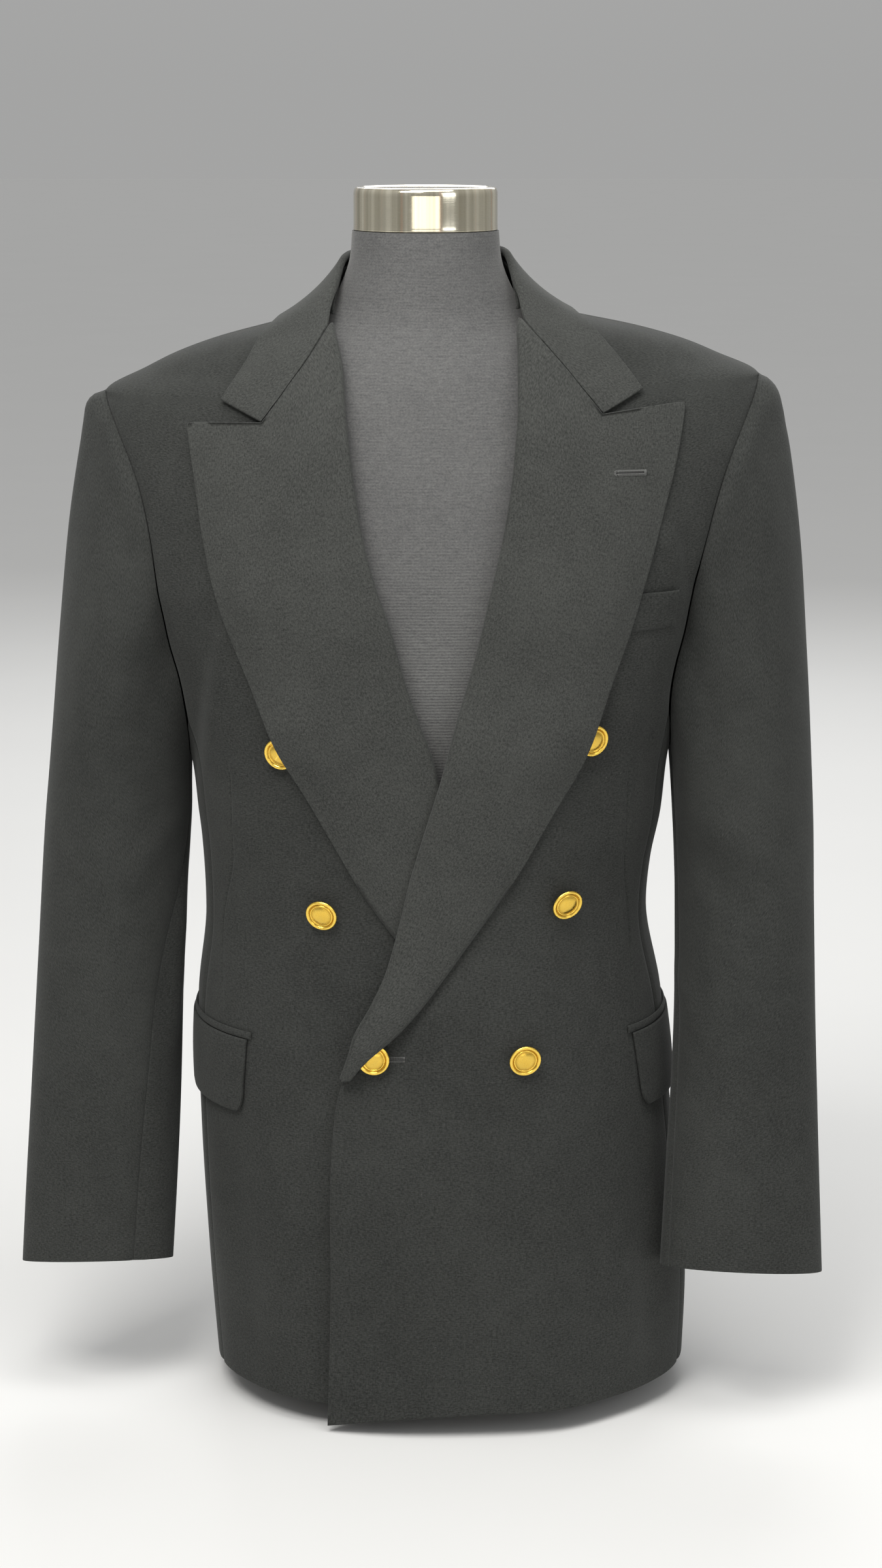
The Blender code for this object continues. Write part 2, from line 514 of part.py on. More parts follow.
def make_lapel(side, cloth):
    """Leaf with a rolled inner edge that wraps the front's edge."""
    notch = notch_share(side)
    leaf_shares = [notch / 3, 2 * notch / 3, notch, notch + (1 - notch) / 3, notch + 2 * (1 - notch) / 3, 1]
    shares = np.array([0, 0, 0] + leaf_shares)[None, :]
    first, last = LAPEL[side][0].roll_height, GORGE[1]
    levels = [h for h in LOW_ROWS + ARM_ROWS[:-1] + SHOULDER_ROWS[::2] if first < h < last]
    roll_heights = np.array([first] + levels + [last])[:, None] * np.ones(shares.shape)
    x, height = lapel_place(side, shares, roll_heights)
    sign = SIDE_SIGN[side]
    flat = len(leaf_shares)
    grids = []
    for roll in (ROLL_OUTSIDE, ROLL_INSIDE):
        beyond = np.array([step.beyond for step in roll] + [0.0] * flat)
        out = np.array([step.out for step in roll] + [roll[-1].out] * flat)
        narrow = np.minimum(1, (read(LAPEL[side], "edge_across", roll_heights[:, :1]) - x[:, :1]) / 0.03)
        beyond = np.where(beyond < 0, beyond * narrow, beyond) * np.ones_like(x)
        lift = front_lift(side, x, height) + button_room(side, x, height) * (shares > 0)
        level = height.copy()
        level[-1] += GORGE_RISE * beyond[-1]
        angle = angle_at(x - beyond, level)
        grids.append(skin(sign * angle, level, lift + out, draped=False))
    wall("lapel_" + side, grids[0], grids[1], cloth)


# ---------------------------------------------------------------- collar
def grid_normals(points):
    return unit(np.cross(np.gradient(points, axis=0), np.gradient(points, axis=1)))


def hang(points):
    """Hang points above the neckline that are given in upright x, y, z."""
    height = np.minimum(points[..., 2], SHOULDER_TOP)
    hung = place(points[..., 0], points[..., 1], height)
    hung[..., 2] += points[..., 2] - height
    return hung


def collar_line(turns, end):
    return np.stack([read(COLLAR, end + axis, turns) for axis in ("_x", "_y", "_z")], axis=-1)


def rolled_steps(turn, outward):
    """Steps round the fall's turned-over top, which opens out towards the gorge."""
    bend = math.radians(float(read(COLLAR_BEND, "degrees", turn)))
    arc, start, tail = (float(read(COLLAR_BEND, column, turn)) for column in ("arc", "start", "tail"))
    radius = arc / bend
    offset = (outward - 0.5) * FACED
    steps = []
    for heading, run in ((bend, tail), (bend, 0.0), (0.5 * bend, 0.0), (0.0, 0.0)):
        along = start - (radius + offset) * math.sin(heading) - run * math.cos(heading)
        inward = 0.5 * FACED + radius - (radius + offset) * math.cos(heading) + run * math.sin(heading)
        steps.append((along, -inward))
    return steps


def collar_profile_rows(sign, turns, outward):
    """Rows of the fall between centre back and the gorge, rolled at the top."""
    fine = np.linspace(0, COLLAR[-1].turn, 200)
    middle = 0.5 * (collar_line(fine, "roll") + collar_line(fine, "edge"))
    heading = np.stack([np.interp(turns, fine, np.gradient(middle[:, k])) for k in range(3)], axis=-1)
    start, end = collar_line(turns, "roll"), collar_line(turns, "edge")
    length = np.linalg.norm(end - start, axis=-1)
    down = (end - start) / length[:, None]
    normal = unit(np.cross(unit(heading), down))
    rows = []
    for r, turn in enumerate(turns):
        steps = rolled_steps(turn, outward)
        for share in COLLAR_SHARES:
            hollow = 4 * share * (1 - share) * float(read(COLLAR, "hollow", turn))
            steps.append((share * length[r], (outward - 1) * FACED - hollow))
        rows.append([start[r] + down[r] * along + normal[r] * out for along, out in steps])
    points = np.array(rows)
    points[..., 0] *= sign
    return hang(points)


def collar_lying_rows(sign, outward):
    """Rows of the fall from the gorge to the notch, where it lies flat on the front."""
    t = np.linspace(0, 1, 4)[:, None]
    share = np.concatenate([np.linspace(0, COLLAR_SHARES[0], 5)[:-1], COLLAR_SHARES])[None, :]
    start_x = GORGE[0] + (NOTCH[0] - GORGE[0]) * t + GORGE_GAP * GORGE_SQUARE[0]
    start_height = GORGE[1] + (NOTCH[1] - GORGE[1]) * t + GORGE_GAP * GORGE_SQUARE[1]
    end_x = COLLAR_EDGE_HIGH[0] + (COLLAR_TIP[0] - COLLAR_EDGE_HIGH[0]) * t
    end_height = COLLAR_EDGE_HIGH[1] + (COLLAR_TIP[1] - COLLAR_EDGE_HIGH[1]) * t
    x = start_x + (end_x - start_x) * share
    height = start_height + (end_height - start_height) * share
    return skin(sign * angle_at(x, height), height, LAY_GAP + outward * FACED, draped=False)


def make_collar_fall(cloth):
    grids = []
    for outward in (1.0, 0.0):
        halves = [np.concatenate([collar_profile_rows(sign, np.array(COLLAR_TURNS), outward),
                                  collar_lying_rows(sign, outward)]) for sign in (-1.0, 1.0)]
        grids.append(np.concatenate([halves[0][::-1], halves[1][1:]]))
    wall("collar_fall", grids[0], grids[1], cloth)


def make_collar_stand(cloth):
    """Band between the neckline and the underside of the fall."""
    turns = np.linspace(0, STAND_END_TURN, 9)
    angle = np.where(turns < COLLAR_SIDE_TURN, math.pi - turns / COLLAR_SIDE_TURN * math.pi / 2,
                     math.pi / 2 - (turns - COLLAR_SIDE_TURN) * STAND_FRONT_SWEEP)
    x, y = ring(BODY, angle, np.full_like(angle, SHOULDER_TOP))
    foot = np.stack([x, y, np.full_like(x, SHOULDER_TOP + 0.0006)], axis=-1)
    head = collar_line(turns, "roll")
    inward = unit(head * np.array([1, 1, 0])) * STAND_INSET
    head = head - inward - np.array([0, 0, STAND_BELOW_ROLL])
    share = np.linspace(0, 1, 3)[None, :, None]
    half = foot[:, None, :] - inward[:, None, :] * 0.25 * (1 - share) + (head - foot)[:, None, :] * share
    mirrored = half[:0:-1] * np.array([-1, 1, 1])
    middle = hang(np.concatenate([mirrored, half]))
    normal = grid_normals(middle)
    wall("collar_stand", middle + normal * 0.5 * STAND_CLOTH, middle - normal * 0.5 * STAND_CLOTH, cloth)


# ---------------------------------------------------------------- sleeves
def armhole_ring():
    """Samples round the armhole: sleeve angle in degrees, height and whether behind."""
    spread = math.pi / 2 - float(armhole_angle(SIDE_PANEL_TOP))
    low = armhole_height(0.5 * spread)
    heights = (low,) + (SIDE_PANEL_TOP,) + ARM_ROWS
    samples = [(height, False) for height in heights] + [(ARMHOLE_TOP, False)]
    samples += [(height, True) for height in reversed(heights)] + [(ARMHOLE_FOOT, True)]
    ring_samples = []
    for height, behind in samples:
        swing = math.degrees(math.acos(2 * (height - ARMHOLE_FOOT) / (ARMHOLE_TOP - ARMHOLE_FOOT) - 1))
        ring_samples.append((-swing if behind else swing, height, behind))
    return ring_samples


def sleeve_section(side, degrees, height):
    table = SLEEVE[side]
    outer, inner = read(table, "outer", height), read(table, "inner", height)
    turn = np.radians(degrees)
    x = 0.5 * (outer + inner) + 0.5 * (outer - inner) * np.cos(turn)
    y = read(table, "middle_y", height) - read(table, "half_depth", height) * np.sin(turn)
    return np.stack([SIDE_SIGN[side] * x, y, height], axis=-1)


def even_degrees(side, height, first_back, columns):
    """Angles spread evenly over top and under sleeve, from the front seam round and back to it."""
    order = np.arange(columns)
    front_seam = read(FOREARM_SEAM[side], "degrees", height)
    top = front_seam + (ELBOW_DEGREES - front_seam) * order / first_back
    under_share = (order - first_back) / (columns - first_back)
    under = ELBOW_DEGREES + (front_seam - 360 - ELBOW_DEGREES) * under_share
    return np.where(order <= first_back, top, under)


def sleeve_grid(side):
    """Outside of the whole sleeve, rows from armhole to cuff, and its outward normals."""
    sign = SIDE_SIGN[side]
    samples = armhole_ring()
    degrees = np.array([s[0] for s in samples])
    heights = np.array([s[1] for s in samples])
    behind = np.array([s[2] for s in samples])
    angle = armhole_angle(heights)
    angle = sign * np.where(behind, math.pi - angle, angle)
    start = skin(angle, heights)
    body_normal = skin_normal(angle, heights)
    along_seam = np.roll(start, -1, axis=0) - np.roll(start, 1, axis=0)
    into_hole = unit(np.cross(along_seam, body_normal))
    into_hole *= np.sign(np.sum(into_hole * (start.mean(axis=0) - start), axis=-1))[:, None]
    crotch = ramp(np.abs(degrees), 110, 160)
    start = start + into_hole * 0.5 * SEAM_GAP + body_normal * (CROTCH_GAP * crotch)[:, None]

    steps = (np.arange(SLEEVE_ROWS + 1) / SLEEVE_ROWS)[:, None] ** 1.6
    first_back = int(np.argmin(np.abs(degrees - ELBOW_DEGREES)))
    turn = np.radians(even_degrees(side, CUFF_HEIGHT[side], first_back, len(degrees)))
    cuff = CUFF_HEIGHT[side] - CUFF_SLANT[side] * np.cos(turn) + CUFF_LIFT[side] * np.sin(turn)
    height = start[:, 2] + (cuff - start[:, 2]) * steps
    even = even_degrees(side, height, first_back, len(degrees))
    settle = ramp(steps, 0, 0.35)
    turned = degrees + (even - degrees) * settle
    hang_off = start - sleeve_section(side, degrees, start[:, 2])
    keep = np.clip(1 - steps / SLEEVE_HEAD_SHARE, 0, 1)[..., None] ** 2
    points = sleeve_section(side, turned, height) + hang_off * keep

    around = np.roll(points, -1, axis=1) - np.roll(points, 1, axis=1)
    normal = unit(np.cross(np.gradient(points, axis=0), around))
    outward = points - points.mean(axis=1, keepdims=True)
    normal *= np.where(np.sum(normal * outward, axis=-1, keepdims=True).mean() < 0, -1, 1)
    toward = np.maximum(np.sum(normal[0] * into_hole, axis=-1, keepdims=True), 0)
    normal[0] = unit(normal[0] - into_hole * toward)
    return points, normal, first_back


def make_sleeve(side, cloth):
    points, normal, first_back = sleeve_grid(side)
    columns = points.shape[1]
    pieces = {
        "top_sleeve_": list(range(0, first_back + 1)),
        "under_sleeve_": list(range(first_back, columns)) + [0],
    }
    for name, use in pieces.items():
        outer, inner = points[:, use].copy(), (points - normal * CLOTH)[:, use].copy()
        for grid in (outer, inner):
            for edge, beside in ((0, 1), (-1, -2)):
                grid[:, edge] += unit(grid[:, beside] - grid[:, edge]) * 0.5 * SEAM_GAP
        wall(name + side, outer, inner, cloth)


# ---------------------------------------------------------------- pockets and buttons
def pocket_angles(side, front_x, height):
    start = float(angle_at(front_x, height))
    depth_steps = np.array([0.0, 0.003, 0.012]) / float(read(BODY, "half_width", height))
    rest = np.linspace(start + depth_steps[-1], FLAP_END_ANGLE - depth_steps[-1], 7)
    return np.concatenate([start + depth_steps[:2], rest, FLAP_END_ANGLE - depth_steps[1::-1]])


def make_pocket(side, cloth):
    sign = SIDE_SIGN[side]
    front_x = FLAP_FRONT[side]
    angle = pocket_angles(side, front_x, FLAP_TOP)[None, :]
    rise = np.linspace(0, 1, 4)[:, None]
    corner = np.minimum(angle - angle.min(), angle.max() - angle) * float(read(BODY, "half_width", FLAP_TOP))
    rounding = FLAP_CORNER * (1 - np.sqrt(1 - np.clip(1 - corner / FLAP_CORNER, 0, 1) ** 2))
    bottom = FLAP_TOP - FLAP_HEIGHT + rounding
    heights = bottom + (FLAP_TOP - bottom) * rise
    slant = FLAP_SLANT * (1 - rise) * (1 - ramp(angle - angle.min(), 0, 0.25))
    stand_off = FLAP_STAND_OFF * (1 - rise)
    wall("flap_" + side, skin(sign * (angle + slant), heights, FLAP_OUT + stand_off + FLAP_CLOTH),
         skin(sign * (angle + slant), heights, FLAP_OUT + stand_off), cloth)
    jet_angle = pocket_angles(side, front_x - JET_OVERHANG, FLAP_TOP)[None, :]
    jet_heights = FLAP_TOP + SEAM_GAP + JET_HEIGHT * np.array([[0.0], [1.0]])
    jet_angle, jet_heights = np.broadcast_arrays(jet_angle, jet_heights)
    wall("jet_" + side, skin(sign * jet_angle, jet_heights, SEAM_GAP * 2 + JET_CLOTH),
         skin(sign * jet_angle, jet_heights, SEAM_GAP * 2), cloth)


def make_welt(cloth):
    x = np.linspace(WELT.across_from, WELT.across_to, 8)[None, :]
    heights = np.linspace(WELT.height_from, WELT.height_to, 3)[:, None]
    x, heights = np.broadcast_arrays(x, heights)
    angle = angle_at(x, heights)
    base = front_lift("left", x, heights) + WELT_OFF
    wall("breast_welt", skin(angle, heights, base + WELT_CLOTH, draped=False),
         skin(angle, heights, base, draped=False), cloth)


def make_button(button, metal):
    """Shank button: a short neck, a rimmed disc and a low dome, drooping on its thread."""
    angle = np.array(SIDE_SIGN[button.front] * float(angle_at(button.across, button.height)))
    height = np.array(button.height)
    lift = front_lift(button.front, np.array(button.across), height)
    foot = skin(angle, height, lift)
    normal = skin_normal(angle, height)
    up = unit(np.array([0.0, 0.0, 1.0]) - normal * normal[2])
    tilt = math.radians(button.tilt_degrees)
    axis = normal * math.cos(tilt) - up * math.sin(tilt)
    top = normal * math.sin(tilt) + up * math.cos(tilt)
    right = np.cross(top, axis)
    shank = SHANK_CLEAR + BUTTON_RADIUS * math.sin(tilt)
    turns = np.arange(BUTTON_SIDES) / BUTTON_SIDES * 2 * math.pi
    rings = []
    base = foot + normal * SHANK_FOOT
    for step in BUTTON_PROFILE:
        centre = base + axis * (0.0 if step.level < 0 else shank + step.level)
        rings.append(centre + step.radius * (np.cos(turns)[:, None] * right + np.sin(turns)[:, None] * top))
    stack_of_rings(button.name, rings, metal, sharp_degrees=35)


# ---------------------------------------------------------------- dress form
def make_form(jersey, metal):
    turns = np.arange(FORM_SIDES) / FORM_SIDES * 2 * math.pi - math.pi
    rings = []
    for section in FORM:
        height = np.full_like(turns, section.height)
        x, y = ring(FORM, turns, height)
        rings.append(np.stack([x, y, height], axis=-1))
    stack_of_rings("form_torso", rings, jersey, sharp_degrees=50)
    turns = np.arange(CAP_SIDES) / CAP_SIDES * 2 * math.pi
    rings = [np.stack([step.radius * np.cos(turns), step.radius * np.sin(turns),
                       np.full_like(turns, step.level)], axis=-1) for step in CAP_PROFILE]
    stack_of_rings("neck_cap", rings, metal, sharp_degrees=50)


# ---------------------------------------------------------------- all together
def main():
    for old in list(bpy.data.objects):
        bpy.data.objects.remove(old, do_unlink=True)
    cloth = material("charcoal wool cloth", (0.030, 0.032, 0.032), 0.85)
    facing = material("charcoal wool facing", (0.034, 0.036, 0.036), 0.80)
    jersey = material("grey ribbed jersey", (0.060, 0.060, 0.063), 0.90)
    gold = material("gold plated brass", (0.80, 0.56, 0.20), 0.28, 1.0)
    steel = material("polished steel", (0.72, 0.70, 0.66), 0.18, 1.0)
    for side in SIDE_SIGN:
        make_front(side, cloth)
        make_side(side, cloth)
        make_back(side, cloth)
        make_sleeve(side, cloth)
        make_lapel(side, facing)
        make_pocket(side, cloth)
    make_collar_fall(facing)
    make_collar_stand(cloth)
    make_welt(cloth)
    for button in BUTTONS:
        make_button(button, gold)
    make_form(jersey, steel)


main()
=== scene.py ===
"""Looks of the double-breasted blazer on its limbless dress form.

Metres, +Z up, the front faces -Y, the wearer's left is +X. Every piece of cloth is a thin soft
wall on the body surface `skin`, made finer than its solid, with rounded folded edges, stitched
seams and soft creases, and with weave coordinates in metres that its material reads.
"""
import math
from collections import namedtuple

import bmesh
import bpy
import numpy as np
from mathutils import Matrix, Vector


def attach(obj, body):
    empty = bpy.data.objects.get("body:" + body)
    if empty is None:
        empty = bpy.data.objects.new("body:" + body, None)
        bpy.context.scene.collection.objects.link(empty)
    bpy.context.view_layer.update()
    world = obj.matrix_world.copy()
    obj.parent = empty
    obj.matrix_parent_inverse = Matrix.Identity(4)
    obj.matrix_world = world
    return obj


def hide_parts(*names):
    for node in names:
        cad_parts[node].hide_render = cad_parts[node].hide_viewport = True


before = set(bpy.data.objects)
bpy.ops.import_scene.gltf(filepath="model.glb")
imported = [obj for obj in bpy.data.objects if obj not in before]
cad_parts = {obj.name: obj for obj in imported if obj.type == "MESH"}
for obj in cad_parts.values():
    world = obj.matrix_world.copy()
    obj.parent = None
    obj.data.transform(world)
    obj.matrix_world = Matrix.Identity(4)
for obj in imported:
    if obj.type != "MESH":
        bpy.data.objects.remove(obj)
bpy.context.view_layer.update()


def table_of(kind, *rows):
    """Rows with named columns."""
    return tuple(kind(*row) for row in rows)


# ---------------------------------------------------------------- sizes shared with the solids
CLOTH = 0.0020           # wall of a front, back, side or sleeve
FACED = 0.0022           # wall of a lapel or collar leaf, cloth on both sides
STAND_CLOTH = 0.0016     # wall of the collar stand
WELT_CLOTH, JET_CLOTH, FLAP_CLOTH = 0.0011, 0.0016, 0.0020
WELT_OFF = 0.0008        # gap under the welt, where the chest falls away below it
SEAM_GAP = 0.0003        # clear gap between two pieces that are sewn together
CROTCH_GAP = 0.0007      # the sleeve stands off the side panel where both hang down
LAY_GAP = 0.0026         # air under a lapel that lies on its front
OVERLAP_LIFT = 0.0080    # how far the over-wrapping left front stands off the right one
HEM_HEIGHT = 0.0180      # hem above the base, pattern height
LEFT_CORNER_DROP = 0.0135   # the left front's lower corner hangs below the hem line
CORNER_REACH, CORNER_POWER = 0.0860, 1.7   # how far in, and how steeply, it falls to that corner
SHOULDER_TOP = 0.7990    # neckline seam
ARMHOLE_TOP = 0.7470     # shoulder point of the armhole
ARMHOLE_FOOT = 0.4780    # lowest point of the armhole
SIDE_PANEL_TOP = 0.5100  # where the side seams run into the armhole
SIDE_SEAM_HEM = {"before": 75.0, "behind": 66.0}   # degrees from centre front or back at the hem
LEAN = 0.026             # the blazer's rise towards the wearer's left, per metre sideways
LEAN_FROM, LEAN_TO = 0.20, 0.60
GORGE = (0.0665, 0.7900)  # where collar and lapel meet on the roll line: sideways, height
GORGE_SQUARE = (0.775, 0.633)   # direction square to the gorge seam, towards the collar
GORGE_GAP, GORGE_RISE = 0.0004, 1.25   # gap along the gorge; the seam's slope across the roll
NOTCH = (0.1163, 0.7290)  # inner corner of the notch
NOTCH_DIP_FROM = 0.620   # roll height from which the lapel's rows bend down to the notch
COLLAR_TIP = (0.1452, 0.7440)
COLLAR_EDGE_HIGH = (0.1260, 0.7690)   # outer edge of the leaf, level with the gorge's top
BUTTON_ROOM, BUTTON_ROOM_SPREAD = 0.0068, 0.036   # a lapel rises over a button below it
BUTTON_RADIUS = 0.0115
SHANK_FOOT, SHANK_CLEAR = 0.0012, 0.0014   # gap under the shank, shank length of a level button
FLAP_HEIGHT, FLAP_TOP = 0.056, 0.2855
FLAP_CORNER, FLAP_SLANT = 0.012, 0.035
FLAP_OUT, FLAP_STAND_OFF = 0.0008, 0.0008
FLAP_END_ANGLE = math.radians(97)
JET_HEIGHT, JET_OVERHANG = 0.0055, 0.003
STAND_INSET, STAND_BELOW_ROLL = 0.0016, 0.0095
STAND_END_TURN, STAND_FRONT_SWEEP = 0.72, 3.0
COLLAR_SIDE_TURN = 0.52  # turn at which the collar passes the side of the neck
ELBOW_DEGREES = -113.0   # angle of the back sleeve seam, 0 = outside
SLEEVE_HEAD_SHARE = 0.30  # share of the sleeve over which the armhole's shape fades

Section = namedtuple("Section", "height centre half_width front back squareness")
BODY = table_of(Section,  # rings of the blazer's outside
    (0.000, 0.0184, 0.1750, 0.142, 0.117, 2.30),
    (0.100, 0.0157, 0.1794, 0.141, 0.122, 2.30),
    (0.200, 0.0076, 0.1760, 0.140, 0.120, 2.30),
    (0.300, 0.0025, 0.1715, 0.138, 0.106, 2.30),
    (0.365, 0.0000, 0.1625, 0.135, 0.092, 2.30),
    (0.400, 0.0010, 0.1645, 0.136, 0.088, 2.30),
    (0.435, 0.0030, 0.1695, 0.138, 0.090, 2.30),
    (0.478, 0.0030, 0.1745, 0.141, 0.097, 2.30),
    (0.530, 0.0010, 0.1890, 0.144, 0.104, 2.30),
    (0.600, 0.0010, 0.2120, 0.143, 0.112, 2.30),
    (0.650, 0.0035, 0.2290, 0.136, 0.113, 2.30),
    (0.700, 0.0050, 0.2380, 0.125, 0.109, 2.30),
    (0.725, 0.0050, 0.2378, 0.117, 0.105, 2.25),
    (0.747, 0.0045, 0.2340, 0.107, 0.098, 2.15),
    (0.762, 0.0040, 0.2050, 0.100, 0.092, 2.00),
    (0.773, 0.0030, 0.1800, 0.094, 0.088, 2.00),
    (0.783, 0.0015, 0.1480, 0.088, 0.083, 2.00),
    (0.791, 0.0005, 0.1130, 0.084, 0.079, 2.00),
    (0.799, 0.0000, 0.0780, 0.078, 0.0745, 2.00))
FORM = table_of(Section,  # rings of the dress form
    (0.000, 0, 0.118, 0.088, 0.078, 2.3),
    (0.004, 0, 0.127, 0.096, 0.086, 2.3),
    (0.035, 0, 0.140, 0.110, 0.096, 2.3),
    (0.100, 0, 0.148, 0.122, 0.106, 2.3),
    (0.200, 0, 0.154, 0.124, 0.106, 2.3),
    (0.300, 0, 0.151, 0.120, 0.092, 2.3),
    (0.365, 0, 0.146, 0.117, 0.078, 2.3),
    (0.435, 0, 0.150, 0.121, 0.077, 2.3),
    (0.500, 0, 0.159, 0.128, 0.085, 2.3),
    (0.560, 0, 0.169, 0.131, 0.093, 2.3),
    (0.620, 0, 0.180, 0.129, 0.099, 2.3),
    (0.680, 0, 0.188, 0.118, 0.098, 2.2),
    (0.720, 0, 0.191, 0.105, 0.091, 2.2),
    (0.742, 0, 0.187, 0.097, 0.085, 2.1),
    (0.757, 0, 0.168, 0.090, 0.079, 2.0),
    (0.768, 0, 0.138, 0.083, 0.074, 2.0),
    (0.777, 0, 0.107, 0.077, 0.070, 2.0),
    (0.785, 0, 0.087, 0.071, 0.067, 2.0),
    (0.796, 0, 0.0725, 0.065, 0.0655, 2.0),
    (0.812, 0, 0.0625, 0.060, 0.0605, 2.0),
    (0.832, 0, 0.0545, 0.056, 0.0560, 2.0),
    (0.8537, 0, 0.0522, 0.0525, 0.0525, 2.0))
Seam = namedtuple("Seam", "height across")
ARMHOLE = table_of(Seam,  # armhole seam, front and back alike
    (0.478, 0.1745), (0.500, 0.1735), (0.525, 0.1745), (0.545, 0.1775), (0.570, 0.1835),
    (0.593, 0.1870), (0.6145, 0.1906), (0.638, 0.1948), (0.663, 0.2000), (0.683, 0.2055),
    (0.701, 0.2124), (0.7195, 0.2211), (0.735, 0.2285), (0.747, 0.2340))
EDGE = {                                          # front edge, then roll line, then neckline
    "left": table_of(Seam,
        (0.000, -0.0874), (0.097, -0.0823), (0.225, -0.0702), (0.255, -0.0647), (0.284, -0.0539),
        (0.301, -0.0484), (0.3185, -0.0380), (0.345, -0.0251), (0.381, -0.0155), (0.424, -0.0075),
        (0.469, 0.0056), (0.519, 0.0210), (0.566, 0.0353), (0.611, 0.0458), (0.669, 0.0551),
        (0.723, 0.0606), (0.790, 0.0665), (0.799, 0.0760)),
    "right": table_of(Seam,
        (0.000, -0.0850), (0.200, -0.0790), (0.260, -0.0740), (0.285, -0.0660), (0.310, -0.0540),
        (0.330, -0.0440), (0.360, -0.0340), (0.400, -0.0240), (0.440, -0.0140), (0.475, -0.0053),
        (0.504, 0.0009), (0.552, 0.0169), (0.5925, 0.0280), (0.642, 0.0459), (0.680, 0.0545),
        (0.729, 0.0611), (0.790, 0.0665), (0.799, 0.0760)),
}
LapelRow = namedtuple("LapelRow", "roll_height edge_across edge_height")
LAPEL = {                                         # outer edge, row by row up the roll line
    "left": table_of(LapelRow,
        (0.268, -0.0540, 0.2690), (0.284, -0.0420, 0.2837), (0.305, -0.0208, 0.3025),
        (0.335, 0.0000, 0.3250), (0.375, 0.0250, 0.3590), (0.424, 0.0530, 0.4030),
        (0.475, 0.0770, 0.4470), (0.530, 0.1030, 0.4930), (0.585, 0.1290, 0.5500),
        (0.635, 0.1470, 0.6020), (0.690, 0.1610, 0.6645), (0.745, 0.1700, 0.7060),
        (0.790, 0.1750, 0.7350)),
    "right": table_of(LapelRow,
        (0.285, -0.0610, 0.2850), (0.310, -0.0400, 0.2990), (0.345, -0.0080, 0.3320),
        (0.390, 0.0220, 0.3700), (0.440, 0.0545, 0.4160), (0.500, 0.0860, 0.4740),
        (0.560, 0.1130, 0.5310), (0.620, 0.1390, 0.5940), (0.680, 0.1560, 0.6490),
        (0.740, 0.1650, 0.7000), (0.790, 0.1695, 0.7300)),
}
Fold = namedtuple("Fold", "height across depth")
DRAPE = {                                         # cloth falls back here, before the armhole
    "left": table_of(Fold,
        (0.430, 0.172, 0.000), (0.480, 0.168, 0.007), (0.530, 0.168, 0.010), (0.576, 0.175, 0.009),
        (0.600, 0.179, 0.005), (0.620, 0.182, 0.000)),
    "right": table_of(Fold,
        (0.400, 0.172, 0.000), (0.430, 0.1700, 0.006), (0.495, 0.1573, 0.014),
        (0.547, 0.1464, 0.012), (0.590, 0.1397, 0.005), (0.610, 0.138, 0.000)),
}
CollarRow = namedtuple("CollarRow", "turn roll_x roll_y roll_z edge_x edge_y edge_z hollow")
COLLAR = table_of(CollarRow,  # half of the fall, centre back to notch
    (0.00, 0.0000, 0.0665, 0.8400, 0.0000, 0.0835, 0.7912, 0.0004),
    (0.20, 0.0300, 0.0600, 0.8400, 0.0470, 0.0765, 0.7920, 0.0010),
    (0.38, 0.0520, 0.0360, 0.8395, 0.0830, 0.0520, 0.7957, 0.0025),
    (0.52, 0.0600, 0.0040, 0.8370, 0.1010, 0.0080, 0.7978, 0.0035),
    (0.64, 0.0640, -0.0260, 0.8230, 0.1090, -0.0330, 0.7942, 0.0015),
    (0.75, 0.0670, -0.0500, 0.8070, 0.1170, -0.0560, 0.7867, 0.0000),
    (0.86, 0.0680, -0.0745, 0.7930, 0.1240, -0.0690, 0.7775, 0.0000))
COLLAR_LAST_TURN = 0.79  # turn of the last row above the gorge
FALL_FROM = 0.08         # share of the width at which the leaf comes out of its roll
ROLL_BEYOND = 0.0026      # how far a lapel reaches past its roll line
LEAF_OUTSIDE, LEAF_INSIDE = 0.0048, 0.0026   # faces of a lapel, off the cloth below
CollarBend = namedtuple("CollarBend", "turn degrees arc start tail")
COLLAR_BEND = table_of(CollarBend,  # how the fall turns over at its top
    (0.00, 180, 0.0052, 0.0006, 0.0032),   # degrees turned, length turned, start below, tail
    (0.52, 180, 0.0052, 0.0006, 0.0032),
    (0.72, 60, 0.0034, 0.0034, 0.0014),
    (0.86, 15, 0.0028, 0.0042, 0.0012))
SleeveRow = namedtuple("SleeveRow", "height outer inner middle_y half_depth")
